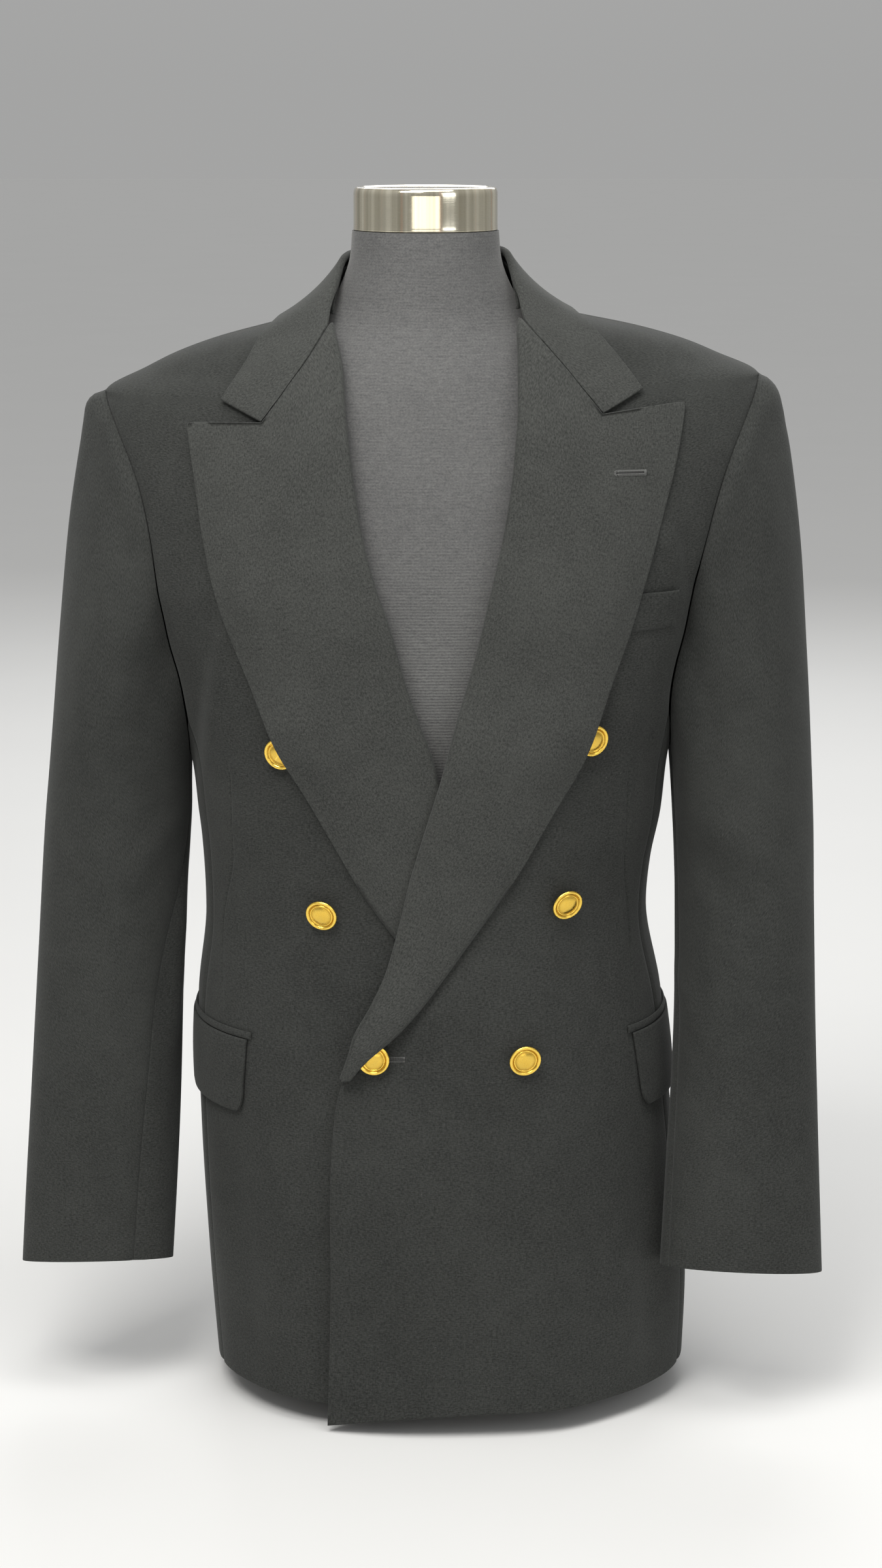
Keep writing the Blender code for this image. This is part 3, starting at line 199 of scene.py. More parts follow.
SLEEVE = {                                        # rings of the sleeves, as they hang
    "left": table_of(SleeveRow,
        (0.102, 0.2890, 0.1700, -0.097, 0.036),
        (0.200, 0.2860, 0.1758, -0.078, 0.042),
        (0.255, 0.2846, 0.1792, -0.066, 0.046),
        (0.314, 0.2829, 0.1812, -0.054, 0.053),
        (0.373, 0.2817, 0.1815, -0.040, 0.060),
        (0.432, 0.2810, 0.1813, -0.028, 0.067),
        (0.491, 0.2788, 0.1821, -0.016, 0.074),
        (0.549, 0.2765, 0.1850, -0.006, 0.079),
        (0.622, 0.2722, 0.1860, 0.000, 0.080),
        (0.684, 0.2647, 0.1860, 0.000, 0.075),
        (0.714, 0.2594, 0.1860, 0.000, 0.068),
        (0.739, 0.2522, 0.1860, 0.000, 0.058),
        (0.7531, 0.2385, 0.1860, 0.000, 0.050)),
    "right": table_of(SleeveRow,
        (0.099, 0.3006, 0.1886, -0.045, 0.036),
        (0.160, 0.2972, 0.1850, -0.036, 0.040),
        (0.219, 0.2933, 0.1820, -0.029, 0.045),
        (0.331, 0.2861, 0.1783, -0.016, 0.056),
        (0.4275, 0.2797, 0.1745, -0.006, 0.068),
        (0.476, 0.2751, 0.1778, -0.002, 0.074),
        (0.573, 0.2658, 0.1800, 0.000, 0.080),
        (0.6525, 0.2571, 0.1800, 0.000, 0.078),
        (0.705, 0.2485, 0.1800, 0.000, 0.068),
        (0.7233, 0.2450, 0.1800, 0.000, 0.060),
        (0.7327, 0.2405, 0.1800, 0.000, 0.055),
        (0.7409, 0.2295, 0.1800, 0.000, 0.050)),
}
CUFF_HEIGHT = {"left": 0.1105, "right": 0.0990}
CUFF_SLANT = {"left": 0.0025, "right": 0.0012}    # the outer side hangs lower
CUFF_LIFT = {"left": 0.0085, "right": 0.0100}     # the front is higher than the sides
SeamTurn = namedtuple("SeamTurn", "height degrees")
FOREARM_SEAM = {                                  # angle of the front sleeve seam, 0 = outside
    "left": table_of(SeamTurn,
        (0.10, 158.0), (0.30, 164.0), (0.45, 172.0), (0.486, 161.0)),
    "right": table_of(SeamTurn,
        (0.10, 121.0), (0.20, 124.0), (0.26, 129.0), (0.30, 133.0), (0.345, 143.0), (0.396, 157.0),
        (0.45, 176.0), (0.486, 161.0)),
}
Button = namedtuple("Button", "name front across height tilt_degrees under_lapel")
BUTTONS = table_of(Button,
    ("button_left_top", "left", 0.1125, 0.5066, 6, True),
    ("button_left_middle", "left", 0.0941, 0.3923, 15, False),
    ("button_left_bottom", "left", 0.0638, 0.2832, 14, False),
    ("button_fastened", "left", -0.0383, 0.2845, 5, True),
    ("button_right_middle", "right", 0.0714, 0.3871, 15, False),
    ("button_right_top", "right", 0.1016, 0.5025, 5, True))
Turned = namedtuple("Turned", "radius level")     # a button's level 0 is its disc's back
FLAP_FRONT = {"left": 0.1450, "right": 0.1303}    # sideways place of the flap's front end
Patch = namedtuple("Patch", "across_from across_to height_from height_to")
WELT = Patch(0.0800, 0.1740, 0.5790, 0.6060)
SIDE_SIGN = {"left": 1.0, "right": -1.0}


# ---------------------------------------------------------------- curves and surfaces
def ramp(value, start, end):
    """Smooth step from 0 at start to 1 at end."""
    t = np.clip((np.asarray(value, float) - start) / (end - start), 0.0, 1.0)
    return t * t * (3.0 - 2.0 * t)


def read(table, column, at):
    """Smooth curve, with no overshoot, through one named column against the first column."""
    xs = np.array([row[0] for row in table], float)
    ys = np.array([getattr(row, column) for row in table], float)
    at = np.clip(np.asarray(at, float), xs[0], xs[-1])
    steps = np.diff(ys) / np.diff(xs)
    slopes = np.concatenate([steps[:1], (steps[:-1] + steps[1:]) / 2, steps[-1:]])
    limit = 3.0 * np.minimum(np.abs(steps[:-1]), np.abs(steps[1:]))
    limit[steps[:-1] * steps[1:] <= 0] = 0.0
    slopes[1:-1] = np.clip(slopes[1:-1], -limit, limit)
    k = np.clip(np.searchsorted(xs, at, side="right") - 1, 0, len(xs) - 2)
    gap = xs[k + 1] - xs[k]
    t = (at - xs[k]) / gap
    return ((1 + 2 * t) * (1 - t) ** 2 * ys[k] + t * (1 - t) ** 2 * gap * slopes[k]
            + t * t * (3 - 2 * t) * ys[k + 1] + t * t * (t - 1) * gap * slopes[k + 1])


def place(x, y, height):
    """Upright pattern place to the blazer as it hangs: shifted and leaning."""
    lean = LEAN * ramp(height, LEAN_FROM, LEAN_TO)
    return np.stack([x + read(BODY, "centre", height), y, height + lean * x], axis=-1)


def ring(table, angle, height):
    """Rounded-square ring: angle 0 is centre front, 90 degrees the wearer's left."""
    power = 2.0 / read(table, "squareness", height)
    sine, cosine = np.sin(angle), np.cos(angle)
    x = read(table, "half_width", height) * np.sign(sine) * np.abs(sine) ** power
    depth = np.where(cosine > 0, -read(table, "front", height), read(table, "back", height))
    return x, depth * np.abs(cosine) ** power


def drape(x, angle, height):
    """How far the cloth falls back between the chest and the armhole."""
    total = np.zeros_like(x)
    for side, sign in SIDE_SIGN.items():
        start = read(DRAPE[side], "across", height)
        back = read(DRAPE[side], "depth", height) * ramp(sign * x, start, start + 0.012)
        total += back * (1 - ramp(np.abs(angle), math.radians(70), math.radians(88)))
    return total


def bare_skin(angle, height, draped=True):
    x, y = ring(BODY, angle, height)
    falls_back = (np.abs(angle) < math.pi / 2) & draped
    return place(x, y + np.where(falls_back, drape(x, angle, height), 0.0), height)


def unit(vectors):
    return vectors / np.linalg.norm(vectors, axis=-1, keepdims=True)


def skin_normal(angle, height, draped=True):
    turn, rise = 0.01, 0.002
    across = bare_skin(angle + turn, height, draped) - bare_skin(angle - turn, height, draped)
    top = np.minimum(height + rise, SHOULDER_TOP)
    up = bare_skin(angle, top, draped) - bare_skin(angle, height - rise, draped)
    return unit(np.cross(across, up))


def skin(angle, height, out=0.0, draped=True):
    """Point of the blazer's body surface, moved out along its normal."""
    angle, height, out = np.broadcast_arrays(*(np.asarray(v, float) for v in (angle, height, out)))
    return bare_skin(angle, height, draped) + skin_normal(angle, height, draped) * out[..., None]


def angle_at(x, height):
    """Angle of the front point with this sideways place."""
    r = np.clip(np.asarray(x, float) / read(BODY, "half_width", height), -1, 1)
    return np.arcsin(np.sign(r) * np.abs(r) ** (read(BODY, "squareness", height) / 2.0))


def armhole_angle(height):
    return angle_at(read(ARMHOLE, "across", height), height)


def overlap_lift(x, height):
    """Height of the left front above the right one where they overlap."""
    return OVERLAP_LIFT * (1 - ramp(x, 0.070, 0.130)) * (1 - ramp(height, 0.485, 0.560))


def front_lift(side, x, height):
    return overlap_lift(x, height) if side == "left" else np.zeros_like(x * height)


# ---------------------------------------------------------------- lines of the cut
def seam_inset(height):
    """Half of the seam gap, as an angle at this height."""
    return 0.5 * SEAM_GAP / read(BODY, "half_width", height)


def side_seam(height, behind):
    """Angle of the seam between front (or back) and side panel."""
    top = armhole_angle(SIDE_PANEL_TOP)
    hem = math.radians(SIDE_SEAM_HEM["behind" if behind else "before"])
    return top + (hem - top) * (1 - ramp(height, 0.10, SIDE_PANEL_TOP))


def outer_bound(height, behind):
    """Side seam, armhole and shoulder seam in one, as an angle from the centre."""
    below = side_seam(height, behind)
    at_arm = armhole_angle(np.clip(height, ARMHOLE_FOOT, ARMHOLE_TOP))
    bound = np.where(height <= SIDE_PANEL_TOP, below, at_arm)
    return np.where(height >= ARMHOLE_TOP, math.pi / 2, bound)


def hem_height(side, x):
    """Hem line: the left front's corner hangs lowest."""
    if side == "left":
        return HEM_HEIGHT - LEFT_CORNER_DROP * np.clip(-x / CORNER_REACH, 0, 1) ** CORNER_POWER
    return HEM_HEIGHT + 0.0 * x


def armhole_height(turn):
    """Height of the armhole's lower arc, turn degrees away from the side."""
    low, high = ARMHOLE_FOOT, SIDE_PANEL_TOP
    for _ in range(40):
        middle = 0.5 * (low + high)
        if math.pi / 2 - armhole_angle(middle) < turn:
            low = middle
        else:
            high = middle
    return 0.5 * (low + high)


def button_room(side, x, height):
    """Extra height of a lapel where it passes over a button."""
    room = np.zeros_like(x * height)
    for button in BUTTONS:
        if button.front == side and button.under_lapel:
            apart = np.hypot(x - button.across, height - button.height)
            room = room + BUTTON_ROOM * np.exp(-(apart / BUTTON_ROOM_SPREAD) ** 2)
    return room


def notch_share(side):
    """Share of a lapel's width at which its notch corner lies."""
    return (NOTCH[0] - GORGE[0]) / (LAPEL[side][-1].edge_across - GORGE[0])


def lapel_place(side, share, roll_height):
    """Pattern place of a lapel point: share 0 on the roll line, 1 on the outer edge."""
    roll_x = read(EDGE[side], "across", roll_height)
    x = roll_x + (read(LAPEL[side], "edge_across", roll_height) - roll_x) * share
    height = roll_height + (read(LAPEL[side], "edge_height", roll_height) - roll_height) * share
    notch = notch_share(side)
    straight = GORGE[1] + (LAPEL[side][-1].edge_height - GORGE[1]) * notch
    reach = np.clip((roll_height - NOTCH_DIP_FROM) / (GORGE[1] - NOTCH_DIP_FROM), 0, 1)
    beside = np.where(share < notch, share / notch, (1 - share) / (1 - notch))
    return x, height - (straight - NOTCH[1]) * reach ** 2 * beside


def grid_normals(points):
    return unit(np.cross(np.gradient(points, axis=0), np.gradient(points, axis=1)))


def hang(points):
    """Hang points above the neckline that are given in upright x, y, z."""
    height = np.minimum(points[..., 2], SHOULDER_TOP)
    hung = place(points[..., 0], points[..., 1], height)
    hung[..., 2] += points[..., 2] - height
    return hung


def collar_line(turns, end):
    return np.stack([read(COLLAR, end + axis, turns) for axis in ("_x", "_y", "_z")], axis=-1)


def sleeve_section(side, degrees, height):
    table = SLEEVE[side]
    outer, inner = read(table, "outer", height), read(table, "inner", height)
    turn = np.radians(degrees)
    x = 0.5 * (outer + inner) + 0.5 * (outer - inner) * np.cos(turn)
    y = read(table, "middle_y", height) - read(table, "half_depth", height) * np.sin(turn)
    return np.stack([SIDE_SIGN[side] * x, y, height], axis=-1)


def even_degrees(side, height, first_back, columns):
    """Angles spread evenly over top and under sleeve, from the front seam round and back to it."""
    order = np.arange(columns)
    front_seam = read(FOREARM_SEAM[side], "degrees", height)
    top = front_seam + (ELBOW_DEGREES - front_seam) * order / first_back
    under_share = (order - first_back) / (columns - first_back)
    under = ELBOW_DEGREES + (front_seam - 360 - ELBOW_DEGREES) * under_share
    return np.where(order <= first_back, top, under)


# ---------------------------------------------------------------- sizes of the finer surface
SPACING = 0.0050         # distance between grid lines of a panel
EDGE_LINE = 0.0014       # first grid line inside an edge, which keeps the edge's turn tight
EDGE_ROUND = 0.0007      # how far a folded cloth edge rounds off
TRIM_ROUND = 0.0004      # how far the edges of jets, welt and collar stand round off
SEAM_TUCK = 0.0004       # how far a sewn edge reaches under the next piece
EdgeLoop = namedtuple("EdgeLoop", "share pull tuck")    # across the wall, rounded off, tucked under
EDGE_LOOPS = table_of(EdgeLoop, (0.0, 1.0, 0.0), (0.14, 0.35, 0.5), (0.5, 0.0, 1.0),
                      (0.86, 0.35, 1.0), (1.0, 1.0, 1.0))
SEAM_DIP, SEAM_DIP_WIDTH = 0.0009, 0.0028   # a panel sinks towards its sewn seams
HEAD_ROLL, HEAD_ROLL_DROP = 0.0022, 0.030   # fullness of the sleeve just below its seam
CREASE_IN, CREASE_OUT = (-0.18, 0.30), (0.70, 1.18)   # shares of its length where a crease fades
Crease = namedtuple("Crease", "x0 h0 x1 h1 width depth")
CREASES = {                                       # soft ridges (+) and troughs (-) of the panels
    "front_left": table_of(Crease,
        (-0.026, 0.292, 0.060, 0.352, 0.0075, 0.0010),
        (-0.020, 0.276, 0.075, 0.250, 0.0090, 0.0009),
        (-0.030, 0.262, 0.010, 0.160, 0.0100, 0.0009),
        (0.146, 0.230, 0.150, 0.020, 0.0120, -0.0030),
        (0.118, 0.200, 0.124, 0.030, 0.0150, 0.0016),
        (0.060, 0.170, 0.068, 0.024, 0.0220, 0.0012),
        (0.015, 0.150, 0.020, 0.020, 0.0200, -0.0010),
        (0.132, 0.405, 0.100, 0.330, 0.0120, -0.0012),
        (0.158, 0.655, 0.176, 0.616, 0.0060, 0.0030),
        (0.178, 0.650, 0.184, 0.605, 0.0050, -0.0022),
        (0.170, 0.560, 0.150, 0.470, 0.0080, -0.0015)),
    "front_right": table_of(Crease,
        (0.109, 0.270, 0.112, 0.024, 0.0170, 0.0026),
        (0.148, 0.210, 0.152, 0.022, 0.0130, -0.0028),
        (0.138, 0.430, 0.118, 0.330, 0.0120, -0.0016),
        (0.125, 0.510, 0.140, 0.420, 0.0100, 0.0012),
        (0.165, 0.660, 0.172, 0.600, 0.0090, -0.0020),
        (0.150, 0.600, 0.158, 0.520, 0.0070, 0.0016),
        (0.075, 0.190, 0.078, 0.040, 0.0140, -0.0012)),
    "back_left": table_of(Crease,
        (0.050, 0.700, 0.120, 0.610, 0.0180, 0.0022),
        (0.145, 0.640, 0.150, 0.530, 0.0110, -0.0026),
        (0.030, 0.430, 0.120, 0.395, 0.0100, -0.0018),
        (0.045, 0.400, 0.130, 0.372, 0.0110, 0.0014),
        (0.090, 0.260, 0.100, 0.030, 0.0200, -0.0020),
        (0.055, 0.230, 0.060, 0.025, 0.0200, 0.0018)),
    "back_right": table_of(Crease,
        (0.045, 0.690, 0.128, 0.625, 0.0170, 0.0020),
        (0.150, 0.650, 0.146, 0.545, 0.0120, -0.0030),
        (0.025, 0.418, 0.125, 0.402, 0.0110, -0.0016),
        (0.050, 0.386, 0.118, 0.362, 0.0100, 0.0015),
        (0.095, 0.240, 0.108, 0.024, 0.0190, -0.0022),
        (0.060, 0.250, 0.052, 0.030, 0.0230, 0.0015)),
}
SleeveFold = namedtuple("SleeveFold", "degrees0 height0 degrees1 height1 width depth")
SLEEVE_FOLDS = {                                  # width in metres along the sleeve or round it
    "left": table_of(SleeveFold,
        (120, 0.660, 95, 0.560, 0.012, -0.0030), (95, 0.640, 75, 0.500, 0.016, 0.0020),
        (150, 0.455, 60, 0.405, 0.013, 0.0022), (160, 0.430, 85, 0.372, 0.012, -0.0024),
        (70, 0.360, 55, 0.160, 0.020, -0.0016), (20, 0.560, 25, 0.300, 0.022, 0.0014),
        (-60, 0.520, -95, 0.440, 0.014, -0.0022), (-70, 0.470, -120, 0.400, 0.013, 0.0024),
        (-90, 0.400, -140, 0.350, 0.013, -0.0022), (-40, 0.300, -60, 0.180, 0.018, 0.0014),
        (175, 0.330, 130, 0.290, 0.010, 0.0016), (100, 0.260, 120, 0.130, 0.016, 0.0014)),
    "right": table_of(SleeveFold,
        (118, 0.650, 98, 0.540, 0.012, -0.0032), (90, 0.660, 70, 0.500, 0.018, 0.0022),
        (60, 0.560, 50, 0.330, 0.020, -0.0016), (150, 0.440, 100, 0.390, 0.011, 0.0018),
        (165, 0.380, 150, 0.250, 0.011, 0.0040), (150, 0.340, 142, 0.210, 0.009, -0.0034),
        (172, 0.300, 158, 0.180, 0.010, -0.0026), (95, 0.300, 88, 0.120, 0.016, -0.0018),
        (-65, 0.510, -100, 0.430, 0.014, -0.0024), (-60, 0.460, -115, 0.390, 0.013, 0.0022),
        (-85, 0.390, -135, 0.340, 0.012, -0.0020), (-30, 0.320, -50, 0.160, 0.020, 0.0014)),
}
LAPEL_WAVES = {                                   # long soft waves across a lapel
    "left": table_of(Crease,
        (0.075, 0.735, 0.150, 0.640, 0.030, -0.0012),
        (0.085, 0.640, 0.135, 0.560, 0.024, 0.0010),
        (0.060, 0.560, 0.100, 0.480, 0.026, -0.0008),
        (0.020, 0.440, 0.060, 0.400, 0.022, 0.0008)),
    "right": table_of(Crease,
        (0.080, 0.700, 0.160, 0.660, 0.024, -0.0014),
        (0.070, 0.640, 0.140, 0.590, 0.024, 0.0010),
        (0.050, 0.570, 0.100, 0.520, 0.026, -0.0010),
        (0.030, 0.480, 0.070, 0.440, 0.022, 0.0008)),
}
DART = table_of(Seam,
    (0.3047, 0.1489), (0.3678, 0.1462), (0.4192, 0.1405), (0.4716, 0.1408), (0.5091, 0.1474))
DART_DEPTH, DART_WIDTH = 0.0010, 0.0011
DART_IN, DART_OUT = (-0.01, 0.03), (-0.05, 0.0)   # heights past its lower and upper end where it fades
Cut = namedtuple("Cut", "width length area")      # flat pattern pieces, seam allowances left out


# ---------------------------------------------------------------- soft walls
def spaced(length, step=SPACING, edge=EDGE_LINE):
    """Shares from 0 to 1 at about this step, with a line close inside each end."""
    count = max(2, int(round(length / step)))
    inner = np.linspace(edge / length, 1 - edge / length, count + 1)
    return np.concatenate([[0.0], inner, [1.0]])


def between(marks, step):
    """Values through all the marks, split into steps no longer than this."""
    values = [marks[0]]
    for start, end in zip(marks, marks[1:]):
        count = max(1, int(math.ceil(abs(end - start) / step)))
        values += list(np.linspace(start, end, count + 1)[1:])
    return np.array(values)


def crease_relief(creases, x, height):
    """Sum of soft ridges and troughs, each along its own short line."""
    total = np.zeros(np.broadcast(x, height).shape)
    for fold in creases:
        along_x, along_h = fold.x1 - fold.x0, fold.h1 - fold.h0
        length = math.hypot(along_x, along_h)
        t = ((x - fold.x0) * along_x + (height - fold.h0) * along_h) / length ** 2
        off = ((x - fold.x0) * along_h - (height - fold.h0) * along_x) / length
        fade = ramp(t, *CREASE_IN) * (1 - ramp(t, *CREASE_OUT))
        total += fold.depth * np.exp(-(off / fold.width) ** 2) * fade
    return total


def edge_distance(grid, edge):
    """Distance in metres of each point from one edge of its grid, along its row or column."""
    axis = 0 if edge in ("foot", "head") else 1
    steps = np.linalg.norm(np.diff(grid, axis=axis), axis=-1)
    along = np.insert(np.cumsum(steps, axis=axis), 0, 0.0, axis=axis)
    return along.take([-1], axis=axis) - along if edge in ("end", "head") else along


def weave_coordinates(grid):
    """Places in the cloth, in metres: across from the middle column, along from the first row."""
    across = edge_distance(grid, "start")
    middle = grid.shape[1] // 2
    along = edge_distance(grid, "foot")[:, [middle]] * np.ones(grid.shape[1])
    return np.stack([across - across[:, [middle]], along, np.zeros_like(across)], axis=-1)


def add_mesh(name, vertices, faces, finish, weave=None, smooth=True):
    mesh = bpy.data.meshes.new(name)
    mesh.from_pydata([tuple(map(float, v)) for v in vertices], [], faces)
    work = bmesh.new()
    work.from_mesh(mesh)
    bmesh.ops.recalc_face_normals(work, faces=work.faces)
    work.to_mesh(mesh)
    work.free()
    if smooth:
        mesh.shade_smooth()
    if weave is not None:
        layer = mesh.attributes.new("weave", "FLOAT_VECTOR", "POINT")
        layer.data.foreach_set("vector", np.asarray(weave, dtype=np.float32).ravel())
    mesh.materials.append(finish)
    made = bpy.data.objects.new(name, mesh)
    bpy.context.collection.objects.link(made)
    return made


def boundary(rows, columns):
    return ([(0, c) for c in range(columns)] + [(r, columns - 1) for r in range(1, rows)]
            + [(rows - 1, c) for c in range(columns - 2, -1, -1)]
            + [(r, 0) for r in range(rows - 2, 0, -1)])


def soft_wall(name, outer, inner, finish, sewn, round_off):
    """Closed wall between two grids: free edges round off, sewn ones reach under the next piece."""
    rows, columns = outer.shape[:2]
    rim = boundary(rows, columns)
    free, joined = np.zeros((len(rim), 3)), np.zeros((len(rim), 3))
    for k, (r, c) in enumerate(rim):
        sides = (("foot", r == 0, (1, c)), ("head", r == rows - 1, (rows - 2, c)),
                 ("start", c == 0, (r, 1)), ("end", c == columns - 1, (r, columns - 2)))
        for side, here, beside in sides:
            if here:
                moved = joined if side in sewn else free
                moved[k] += unit(outer[r, c] - outer[beside])
    edge_out = np.array([outer[p] for p in rim])
    edge_in = np.array([inner[p] for p in rim])
    loops = [edge_out + (edge_in - edge_out) * loop.share - free * round_off * loop.pull
             + joined * SEAM_TUCK * loop.tuck for loop in EDGE_LOOPS]
    outer, inner = outer.copy(), inner.copy()
    for k, place_at in enumerate(rim):
        outer[place_at] = loops[0][k]
        inner[place_at] = loops[-1][k]
    count = rows * columns
    number = np.arange(count).reshape(rows, columns)
    corners = (number[:-1, :-1], number[:-1, 1:], number[1:, 1:], number[1:, :-1])
    quads = np.stack(corners, axis=-1).reshape(-1, 4)
    faces = [tuple(map(int, quad)) for quad in np.concatenate([quads, quads[:, ::-1] + count])]
    rim_numbers = [int(number[p]) for p in rim]
    rings = [rim_numbers]
    for k in range(len(EDGE_LOOPS) - 2):
        rings.append([2 * count + k * len(rim) + i for i in range(len(rim))])
    rings.append([count + i for i in rim_numbers])
    for first, second in zip(rings, rings[1:]):
        for k in range(len(rim)):
            after = (k + 1) % len(rim)
            faces.append((first[k], second[k], second[after], first[after]))
    vertices = np.concatenate([outer.reshape(-1, 3), inner.reshape(-1, 3)] + loops[1:-1])
    flat = weave_coordinates(outer)
    rim_flat = np.array([flat[p] for p in rim])
    weave = np.concatenate([flat.reshape(-1, 3)] * 2 + [rim_flat] * (len(EDGE_LOOPS) - 2))
    return add_mesh(name, vertices, faces, finish, weave)


def declare(piece, node=None):
    """Hides the solid that a piece stands for, if one is named, and lets the piece ride on the one body."""
    if node:
        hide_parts(node)
    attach(piece, "root")


def cloth_wall(node, outer, inner, finish, rests_on, sewn=(), round_off=EDGE_ROUND, slot="wool", held="hung"):
    """Soft wall that stands for a node."""
    made = soft_wall(node + "_cloth", outer, inner, finish, sewn, round_off)
    declare(made, node)


# ---------------------------------------------------------------- body panels
PANEL_MARKS = (HEM_HEIGHT, 0.05, 0.10, 0.285, 0.48, SIDE_PANEL_TOP)   # heights that rows keep
ARM_MARKS = (SIDE_PANEL_TOP, 0.60, 0.70, ARMHOLE_TOP)
SHOULDER_MARKS = (ARMHOLE_TOP, 0.762, 0.777, 0.7975)
SHOULDER_STEP = 0.0022
HEM_DRAWN_TO = 0.05      # rows below this height follow a sloping hem
FRONT_HEM_REACH = 0.16   # sideways place of the front's side seam at the hem
BEFORE_DART, BEHIND_DART = 0.20, 0.075   # widths of a front on both sides of its dart
FRONT_WIDTH, BACK_WIDTH, SIDE_WIDTH = 0.30, 0.22, 0.13
DART_SHARE = 0.012       # share of a front's width with finer columns, to each side of the dart
DART_COLUMNS = (-2.6, -1.5, -0.8, -0.35, 0.0, 0.35, 0.8, 1.5, 2.6)    # in dart widths
DART_ROW = 40            # a row that crosses the dart


def panel_rows():
    low = between(PANEL_MARKS, SPACING)
    arm = between(ARM_MARKS, SPACING)
    shoulder = between(SHOULDER_MARKS, SHOULDER_STEP)
    return np.concatenate([[low[0], low[0] + EDGE_LINE], low[1:], arm[1:], shoulder[1:-1],
                           [shoulder[-1] - 0.5 * EDGE_LINE, shoulder[-1]]])


def hemmed(heights, hem):
    """Heights with the lowest rows drawn to a sloping hem."""
    share = np.clip((HEM_DRAWN_TO - heights) / (HEM_DRAWN_TO - HEM_HEIGHT), 0, 1)
    return heights + (hem - HEM_HEIGHT) * share


def seam_dip(distance):
    return -SEAM_DIP * np.exp(-(distance / SEAM_DIP_WIDTH) ** 2)


def seam_dips(grid, *edges):
    return sum(seam_dip(edge_distance(grid, edge)) for edge in edges)


def dart_share(side, heights):
    """Share of the front's width at which its dart runs."""
    level = np.clip(heights, DART[0].height, DART[-1].height)
    near = angle_at(read(EDGE[side], "across", level), level)
    far = outer_bound(level, False)
    return (angle_at(read(DART, "across", level), level) - near) / (far - near)


def front_columns(side, heights):
    """Column shares that keep one grid line on the dart and finer ones beside it."""
    dart = dart_share(side, heights)[:, None]
    before = spaced(BEFORE_DART)[:-2]
    after = spaced(BEHIND_DART)[2:]
    fine = np.array(DART_COLUMNS) * DART_WIDTH / FRONT_WIDTH
    left = before / before[-1] * (dart - DART_SHARE)
    right = dart + DART_SHARE + (after - after[0]) / (1 - after[0]) * (1 - dart - DART_SHARE)
    return np.concatenate([left, dart + fine, right], axis=1)


def body_panel(name, side, angle, heights, lift, cloth, sewn):
    """Wall of a body panel: its outside on the body surface, moved out by this lift."""
    angle = SIDE_SIGN[side] * angle
    cloth_wall(name + "_" + side, skin(angle, heights, lift), skin(angle, heights, lift - CLOTH),
               cloth, ["form_torso_jersey"], sewn)


def make_front(side, cloth):
    rows = panel_rows()
    share = front_columns(side, rows)
    heights = np.repeat(rows[:, None], share.shape[1], axis=1)
    edge_at_hem = read(EDGE[side], "across", HEM_HEIGHT)
    hem_x = edge_at_hem + (FRONT_HEM_REACH - edge_at_hem) * share
    heights = hemmed(heights, hem_height(side, hem_x))
    near = angle_at(read(EDGE[side], "across", heights) + 0.5 * SEAM_GAP, heights)
    far = outer_bound(heights, False) - seam_inset(heights)
    angle = near + (far - near) * share
    x = ring(BODY, angle, heights)[0]
    lift = front_lift(side, x, heights)
    bare = skin(SIDE_SIGN[side] * angle, heights, lift)
    dart = int(np.argmin(np.abs(share[DART_ROW] - dart_share(side, rows)[DART_ROW])))
    from_dart = edge_distance(bare, "start")
    from_dart = from_dart - from_dart[:, [dart]]
    low, high = DART[0].height, DART[-1].height
    in_dart = ramp(heights, low + DART_IN[0], low + DART_IN[1]) * (
        1 - ramp(heights, high + DART_OUT[0], high + DART_OUT[1]))
    relief = crease_relief(CREASES["front_" + side], x, heights)
    relief = relief - DART_DEPTH * np.exp(-(from_dart / DART_WIDTH) ** 2) * in_dart
    relief = relief + seam_dips(bare, "end", "head")
    body_panel("front", side, angle, heights, lift + relief, cloth, ("head", "end"))


def make_back(side, cloth):
    rows = panel_rows()
    share = spaced(BACK_WIDTH)[None, :]
    heights = np.repeat(rows[:, None], share.shape[1], axis=1)
    near = math.pi - seam_inset(heights)
    far = math.pi - outer_bound(heights, True) + seam_inset(heights)
    angle = near + (far - near) * share
    x = ring(BODY, angle, heights)[0]
    bare = skin(SIDE_SIGN[side] * angle, heights)
    relief = crease_relief(CREASES["back_" + side], x, heights)
    relief = relief + seam_dips(bare, "end", "start", "head")
    body_panel("back", side, angle, heights, relief, cloth, ("head", "start", "end"))


def make_side(side, cloth):
    low = between(PANEL_MARKS, SPACING)
    rows = np.concatenate([[low[0], low[0] + EDGE_LINE], low[1:-1], [low[-1] - EDGE_LINE, low[-1]]])
    share = spaced(SIDE_WIDTH)[None, :]
    heights = np.repeat(rows[:, None], share.shape[1], axis=1)
    front = side_seam(heights, False) + seam_inset(heights)
    back = math.pi - side_seam(heights, True) - seam_inset(heights)
    angle = front + (back - front) * share
    spread = math.pi / 2 - float(armhole_angle(SIDE_PANEL_TOP))
    for c in range(share.shape[1]):
        top = armhole_height(abs(2 * share[0, c] - 1) * spread) - 0.5 * SEAM_GAP
        heights[:, c] = HEM_HEIGHT + (heights[:, c] - HEM_HEIGHT) * (
            (top - HEM_HEIGHT) / (SIDE_PANEL_TOP - HEM_HEIGHT))
    relief = seam_dips(skin(SIDE_SIGN[side] * angle, heights), "end", "start")
    body_panel("side", side, angle, heights, relief, cloth, ("head", "start", "end"))


